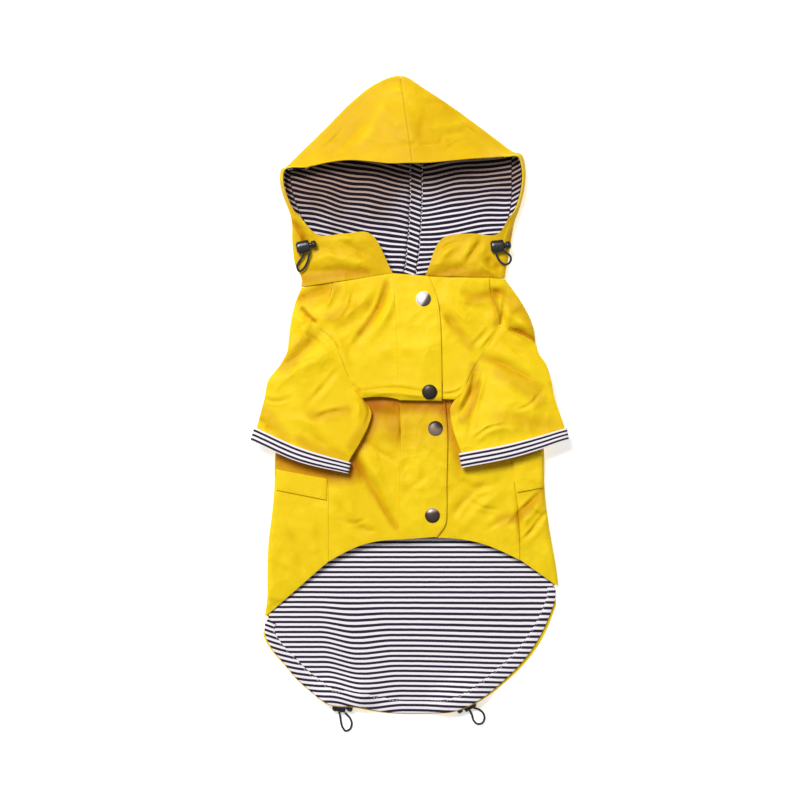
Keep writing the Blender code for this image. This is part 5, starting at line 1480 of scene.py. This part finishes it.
class RAINCOAT_OT_sleeves(bpy.types.Operator):
    """Make the sleeves with their turned-up cuffs"""

    bl_idname = "raincoat.sleeves"
    bl_label = "Sleeves"

    def execute(self, context):
        values = cloth_values()
        for side, table, front, shoulder, turn, bulge in (
            ("left", SLEEVE_LEFT, FRONT_LEFT, SHOULDER_LEFT, 1, 4.4),
            ("right", SLEEVE_RIGHT, FRONT_RIGHT, SHOULDER_RIGHT, -1, 2.8),
        ):
            grid = sleeve_grid(table, armhole(front, shoulder, turn), bulge)
            outer = sewn(creased(grid, f"sleeve_{side}", tube=True), {"first": (0.5, 0.12)}, tube=True)
            corner = outer[0, np.argmin(outer[0, :, 1] + 0.5 * np.abs(outer[0, :, 0]))]
            near = np.exp(-(np.linalg.norm(outer - corner, axis=2, keepdims=True) / CORNER_REACH) ** 2)
            outer += (blurred(outer, 8, tube=True) - outer) * near
            GRIDS[f"sleeve_{side}"] = outer
            woven(f"sleeve_{side}_cloth", outer, lie(grid, tube=True), values.shell, coated_cloth(),
                  striped_cloth(), [f"sleeve_{side}"], tube=True,
                  dark=PAINTED_SHADE[f"sleeve_{side}"],
                  plain=lambda row, column: row < 3 * SLEEVE_STEPS)
            band = cuff_grid(outer)
            woven(f"cuff_{side}_cloth", band, lie(band, tube=True), values.shell,
                  striped_cloth("cuff_cloth", values.cuff_pitch, 0.15), None,
                  [f"cuff_{side}"], tube=True)
        return {"FINISHED"}


class RAINCOAT_OT_flaps(bpy.types.Operator):
    """Make the pocket flaps"""

    bl_idname = "raincoat.flaps"
    bl_label = "Pocket flaps"

    def execute(self, context):
        body = body_grid()
        for side, edges in (("left", FLAP_LEFT), ("right", FLAP_RIGHT)):
            grid = flap_grid(edges, body)
            inner = "right" if side == "left" else "left"
            outer = GRIDS[f"flap_{side}"] = sewn(creased(grid, f"flap_{side}"), {inner: (0.0, 0.5)})
            woven(f"pocket_flap_{side}_cloth", outer, lie(grid), cloth_values().shell, coated_cloth(), None,
                  [f"pocket_flap_{side}"], dark=PAINTED_SHADE[f"flap_{side}"])
        return {"FINISHED"}


def chosen(test):
    """In edit mode, chooses the faces whose middle, in millimetres, and normal pass a test."""
    bpy.ops.mesh.select_mode(type="FACE")
    bpy.ops.mesh.select_all(action="DESELECT")
    mesh = bpy.context.edit_object.data
    for face in bmesh.from_edit_mesh(mesh).faces:
        face.select_set(bool(test(face.calc_center_median() / MM, face.normal)))
    bmesh.update_edit_mesh(mesh)


def stepped_in(*steps):
    """Insets the chosen faces, step by step, by a width and a depth in millimetres."""
    for thickness, depth in steps:
        bpy.ops.mesh.inset(thickness=thickness * MM, depth=depth * MM)


def cylinder(sides, radius, depth, height=0.0):
    """An upright cylinder in edit mode, with nothing else chosen and its middle at that height, in millimetres."""
    for other in bpy.context.selected_objects:
        other.select_set(False)
    bpy.ops.mesh.primitive_cylinder_add(vertices=sides, radius=radius * MM, depth=depth * MM,
                                        location=(0.0, 0.0, height * MM))
    bpy.ops.object.mode_set(mode="EDIT")
    return bpy.context.edit_object


def drawn_out(length, share, middle):
    """Draws the chosen face out along z and changes its width, its middle being at that height, all in
    millimetres."""
    bpy.ops.mesh.extrude_region_move(TRANSFORM_OT_translate={"value": (0.0, 0.0, length * MM)})
    bpy.ops.transform.resize(value=(share, share, 1.0), center_override=(0.0, 0.0, middle * MM))


def ended(angle):
    """Leaves edit mode with the faces turned outward and shaded smooth up to an angle, and the origin at 0."""
    bpy.ops.mesh.select_all(action="SELECT")
    bpy.ops.mesh.normals_make_consistent(inside=False)
    bpy.ops.object.mode_set(mode="OBJECT")
    bpy.ops.object.shade_smooth_by_angle(angle=math.radians(angle))
    bpy.ops.object.transform_apply(location=True, rotation=True, scale=True)


def copy_of(original, name, placement, finish, replaces):
    """A piece's copy with its own mesh, placed in the mesh."""
    mesh = original.data.copy()
    mesh.name = name
    mesh.transform(placement)
    mesh.materials.clear()
    mesh.materials.append(finish)
    added(name, mesh, replaces)


def placed(x, y, z, turn=0.0, tilt=0.0):
    """A placement from table millimetres, turned about z and tilted about y."""
    at = Vector((np.array([x, y, z]) + CENTRE) * MM)
    return Matrix.Translation(at) @ Matrix.Rotation(turn, 4, "Z") @ Matrix.Rotation(tilt, 4, "Y")


def snap_finish(name, middle, dark, light, way, low, high):
    """Gunmetal with a painted reflection, running from dark to light across the cap as its dome would take the
    light.
    """
    finish = Finish(name, 0.42, Metallic=0.35, Specular_IOR_Level=0.5)
    place = finish.coordinates(scale=1000.0)
    far = finish.node("ShaderNodeVectorMath", {"operation": "DOT_PRODUCT"}, place, (*way, 0.0), output=1)
    fine = finish.noise(place, 2.2, 3.0)
    # painted reflection: dark to light along the given way, with a ragged edge
    share = (far - np.dot(way, middle) + (fine - 0.5) * 1.6).step(low, high)
    colour = finish.mix(share, dark, light)
    normal = finish.relief(fine, 0.00004, 0.5)
    return finish.set(Base_Color=colour, Normal=normal, Roughness=fine * 0.1 + 0.32)


class RAINCOAT_OT_snaps(bpy.types.Operator):
    """Make the domed snap caps on the placket"""

    bl_idname = "raincoat.snaps"
    bl_label = "Snaps"

    def execute(self, context):
        values = trim_values()
        radius, rise = values.snap_radius * 1000, values.snap_rise * 1000
        cap = cylinder(48, radius, SNAP_FLANGE, SNAP_FLANGE / 2)
        chosen(lambda middle, way: way.z > 0.9)
        last, height = 1.0, SNAP_FLANGE
        rim = [(0.985, 0.75), (0.955, 0.75), (0.95, 0.62)]
        dome = [(share, 0.85 + (rise - 0.85) * math.sqrt(1 - (share / 0.96) ** 2))
                for share in (0.9, 0.82, 0.7, 0.55, 0.38, 0.2, 0.07)]
        for share, level in rim + dome:
            stepped_in(((last - share) * radius, level - height))
            last, height = share, level
        bpy.ops.mesh.poke()
        chosen(lambda middle, way: way.z < -0.9)
        stepped_in((0.6, 0.0), (0.2, -0.35))
        ended(32)
        under = surface(GRIDS["placket"])
        for number, ((x, y), *light) in enumerate(SNAPS, start=1):
            seat = height_on(under, x, y)
            lean = math.atan2(height_on(under, x, y + SNAP_SEAT) - seat, SNAP_SEAT)
            for angle in np.linspace(0.0, 2 * math.pi, 24, endpoint=False):
                aside, along = radius * math.cos(angle), radius * math.sin(angle)
                height = height_on(under, x + aside, y + along)
                if height is not None:
                    seat = max(seat, height - along * math.tan(lean))
            finish = snap_finish(f"snap_metal_painted_reflection_{number}", CENTRE[:2] + (x, y), *light)
            copy_of(cap, f"snap_cap_{number}", placed(x, y, seat - 0.65) @ Matrix.Rotation(lean, 4, "X"), finish,
                    [f"snap_{number}"])
        bpy.data.objects.remove(cap)
        return {"FINISHED"}


class RAINCOAT_OT_locks(bpy.types.Operator):
    """Make the cord locks with their push buttons"""

    bl_idname = "raincoat.locks"
    bl_label = "Cord locks"

    def execute(self, context):
        finish = plain_finish("lock_plastic", trim_values().plastic_colour, 0.42, 0.00003, 700.0, 0.05,
                              Specular_IOR_Level=0.22)
        half = LOCK_LENGTH / 2
        body = cylinder(36, 0.66 * half, 0.4, 0.2 - half)
        chosen(lambda middle, way: way.z > 0.9)
        level, last = 0.4 - half, 0.66
        # ring by ring: how much further on it stands, and its radius as a share of the half length
        for length, share in (
            (0.3, 0.78), (0.5, 0.87), (0.8, 0.93), (1.9, 0.94), (2.8, 0.94), (0.6, 0.94), (0.2, 0.88), (0.7, 0.88),
            (0.2, 0.94), (1.5, 0.94), (2.7, 0.92), (0.5, 0.86), (0.3, 0.79), (0.2, 0.72),
        ):
            level += length
            drawn_out(length, share / last, level)
            last = share
        for mark in (1, -1):
            chosen(lambda middle, way: way.z * mark > 0.9 and middle.xy.length < 1.0)
            stepped_in((1.6, 0.0), (0.4, -0.6))
        bpy.ops.mesh.select_all(action="SELECT")
        bpy.ops.transform.rotate(value=-math.pi / 2, orient_axis="Y", center_override=(0.0, 0.0, 0.0))
        bpy.ops.transform.resize(value=(1.0, LOCK_WIDTH / (1.88 * half), (LOCK_RISE - 0.8) / (1.88 * half)),
                                 center_override=(0.0, 0.0, 0.0))
        for low, high in ((-3.1, -0.3), (2.9, 5.6)):
            chosen(lambda middle, way: way.y < -0.7 and low < middle.x < high)
            stepped_in((0.35, 0.0), (0.2, -0.9))
            chosen(lambda middle, way: way.z > 0.95 and low < middle.x < high)
            stepped_in((0.4, 0.0), (0.15, 0.35))
        ended(40)
        button = cylinder(28, BUTTON_WIDTH * 0.3, 1.2)
        chosen(lambda middle, way: way.z > 0.9)
        level = 0.6  # and here how many times as wide as the last ring
        for length, share in (
            (0.3, 1.45), (0.5, 1.12), (0.9, 1.03), (0.3, 0.93), (0.35, 1.0), (0.3, 1.075), (0.9, 1.0),
            (0.8, 0.93), (0.6, 0.84), (0.35, 0.78),
        ):
            level += length
            drawn_out(length, share, level)
        stepped_in((0.9, -0.25))
        bpy.ops.mesh.poke()
        chosen(lambda middle, way: way.z < -0.9 and middle.xy.length < 1.0)
        stepped_in((0.5, 0.3))
        ended(38)
        for lock in LOCKS:
            turn = math.radians(lock.turn)
            copy_of(body, f"lock_{lock.name}", placed(lock.x, lock.y, lock.z + LOCK_RISE / 2, turn), finish,
                    [f"cord_lock_{lock.name}"])
            reach = LOCK_LENGTH / 2 + SEAM + 0.3
            x, y = lock.x + reach * math.cos(turn), lock.y + reach * math.sin(turn)
            copy_of(button, f"lock_{lock.name}_button",
                    placed(x, y, lock.z + BUTTON_WIDTH * 0.5, turn, math.pi / 2), finish,
                    [f"cord_lock_{lock.name}_button"])
        bpy.data.objects.remove(body)
        bpy.data.objects.remove(button)
        return {"FINISHED"}


def elastic_finish():
    """Black elastic cord under a fine braid."""
    finish = Finish("elastic_cord", 0.8, Specular_IOR_Level=0.3, Sheen_Weight=0.2)
    around, along, _ = finish.split(finish.coordinates("UV"))
    braid = (around * 44.0 + along * 5200.0).sine() * (around * 44.0 - along * 5200.0).sine()
    colour = tuple(trim_values().cord_colour)
    pale = tuple(value * 3.2 + 0.01 for value in colour)
    tone = finish.mix(braid.step(-0.2, 0.9), colour, pale)
    return finish.set(Base_Color=tone, Normal=finish.relief(braid, 0.00012, 0.8))


class RAINCOAT_OT_loops(bpy.types.Operator):
    """Make the loops of elastic cord that come out of the cord locks"""

    bl_idname = "raincoat.loops"
    bl_label = "Cord loops"

    def execute(self, context):
        finish, sides, count = elastic_finish(), 12, 110
        for name, route in LOOPS.items():
            line = evenly(route, count)
            line[0] += CORD_ENTRY * unit(line[0] - line[2])
            line[-1] += CORD_ENTRY * unit(line[-1] - line[-3])
            along = unit(np.gradient(line, axis=0))
            aside = unit(np.cross(along, (0.0, 0.0, 1.0)))
            up = np.cross(aside, along)
            angle = np.linspace(0.0, 2 * math.pi, sides, endpoint=False)
            rings = line[:, None] + CORD / 2 * (
                np.cos(angle)[None, :, None] * aside[:, None] + np.sin(angle)[None, :, None] * up[:, None])
            far = travelled(line) * MM
            flat = np.stack(np.meshgrid(np.append(angle, 2 * math.pi) / (2 * math.pi), far), axis=2)
            caps = [list(range(sides))[::-1], list(range((count - 1) * sides, count * sides))]
            mesh = skin(f"loop_{name}", rings, flat, "cord", True, caps)
            shape = bmesh.new()
            shape.from_mesh(mesh)
            bmesh.ops.recalc_face_normals(shape, faces=shape.faces)
            shape.to_mesh(mesh)
            shape.free()
            mesh.materials.append(finish)
            added(f"loop_{name}", mesh, [f"cord_loop_{name}"])
        return {"FINISHED"}


def stitched(name, stitch, runs, finish):
    """One row of stitches, copied along lines with the way out of the cloth at each of their points."""
    source = np.array([vertex.co for vertex in stitch.data.vertices])
    faces = [list(face.vertices) for face in stitch.data.polygons]
    points, polygons = [], []
    for line, way in runs:
        far = travelled(line)
        count = int((far[-1] - 1.0) / STITCH_PITCH)
        at = (far[-1] - count * STITCH_PITCH) / 2 + STITCH_PITCH * (np.arange(count) + 0.5)
        for number, place in enumerate(at):
            along = unit(read_at(place + 0.8, far, line) - read_at(place - 0.8, far, line))
            aside = unit(np.cross(read_at(place, far, way), along))
            aside = aside * math.cos(0.06) + along * math.sin(0.06 * math.sin(5.1 * number))
            frame_of = np.array([aside, np.cross(along, aside), along])
            polygons += [[index + len(points) * len(source) for index in face] for face in faces]
            points.append(source @ frame_of + (read_at(place, far, line) + CENTRE) * MM)
    mesh = bpy.data.meshes.new(name)
    mesh.from_pydata(np.concatenate(points).tolist(), [], polygons)
    mesh.shade_smooth()
    mesh.materials.append(finish)
    added(name, mesh)


class RAINCOAT_OT_stitches(bpy.types.Operator):
    """Make the rows of stitches along the seams and casings"""

    bl_idname = "raincoat.stitches"
    bl_label = "Stitching"

    def execute(self, context):
        values = trim_values()
        stitch = cylinder(6, THREAD / 2, 1.6)
        for mark in (-1, 1):
            chosen(lambda middle, way: way.z * mark > 0.9)
            bpy.ops.mesh.extrude_region_move(TRANSFORM_OT_translate={"value": (0.0, -0.22 * MM, 0.42 * mark * MM)})
            bpy.ops.transform.resize(value=(0.55, 0.55, 1.0), center_override=(0.0, -0.22 * MM, 1.22 * mark * MM))
        ended(60)
        yellow = plain_finish("yellow_thread", values.thread_colour, 0.6, 0.00002)
        white = plain_finish("white_thread", (0.88, 0.85, 0.88), 0.7, 0.00002)

        def run(piece, side, off, test=lambda x, y, z: z > 9, tube=False):
            line, way = inside_of(GRIDS[piece], side, off, -0.06, tube)
            kept = test(*line.T) & (way[:, 2] > 0.05)
            parts = np.split(np.arange(len(kept)), np.flatnonzero(np.diff(kept)) + 1)
            return [(line[part], way[part]) for part in parts if kept[part[0]] and len(part) > 4]

        # each row's pieces, the side that it follows and how far inside, and the part of the side that is sewn
        rows = {
            "brim": [run(f"hood_{side}", side, 18.5, lambda x, y, z: (y > 215) & (z > 16)) for side in SIDES],
            "chin": [run(f"hood_{side}", side, 3.0, lambda x, y, z: (y < 176) & (z > 9)) for side in SIDES],
            "crown": [run("hood_left", "first", 1.9)],
            "neck": [run(f"hood_{side}", "last", 1.9) for side in SIDES],
            "armholes": [
                run(f"sleeve_{side}", "first", 1.9, lambda x, y, z: (z > 13.2) & (y > 10.5 - 0.075 * x), tube=True)
                for side in SIDES],
            "placket": [run("placket", "right", 2.2, lambda x, y, z: (y > 4) | ((y < -14) & (z > 12)))],
            "hem": [run(piece, "last", 2.6) for piece in ("front_left", "front_right", "placket", "back")],
            "flaps": [run(f"flap_{side}", "last", 2.4, lambda x, y, z: z > 3) for side in SIDES],
        }
        for name, runs in rows.items():
            stitched(f"{name}_stitches", stitch, sum(runs, []), yellow)
        stitched("tail_stitches", stitch, [GRIDS["casing_line"]], white)
        bpy.data.objects.remove(stitch)
        return {"FINISHED"}


class RAINCOAT_PT_panel(bpy.types.Panel):
    """Lists the coat's operators and values"""

    bl_idname = "RAINCOAT_PT_panel"
    bl_label = "Dog raincoat"
    bl_space_type = "VIEW_3D"
    bl_region_type = "UI"
    bl_category = "Raincoat"

    def draw(self, context):
        for operator in OPERATORS:
            self.layout.operator(operator.bl_idname)
        for group in VALUES:
            values, box = getattr(context.scene, group), self.layout.box()
            for name in type(values).__annotations__:
                box.prop(values, name)


OPERATORS = [
    RAINCOAT_OT_stage, RAINCOAT_OT_body, RAINCOAT_OT_fronts, RAINCOAT_OT_hood, RAINCOAT_OT_sleeves,
    RAINCOAT_OT_flaps, RAINCOAT_OT_tapes, RAINCOAT_OT_snaps, RAINCOAT_OT_locks, RAINCOAT_OT_loops,
    RAINCOAT_OT_stitches,
]
VALUES = {
    "raincoat_cloth": RaincoatClothValues,
    "raincoat_trim": RaincoatTrimValues,
    "raincoat_stage": RaincoatStageValues,
}


CLASSES = [*VALUES.values(), *OPERATORS, RAINCOAT_PT_panel]


def register():
    for group in CLASSES:
        bpy.utils.register_class(group)
    for name, group in VALUES.items():
        setattr(bpy.types.Scene, name, bpy.props.PointerProperty(type=group))


def unregister():
    for name in VALUES:
        delattr(bpy.types.Scene, name)
    for group in CLASSES:
        bpy.utils.unregister_class(group)


def main():
    register()
    for operator in OPERATORS:
        getattr(bpy.ops.raincoat, operator.bl_idname.split(".")[1])()


if __name__ == "__main__":
    main()
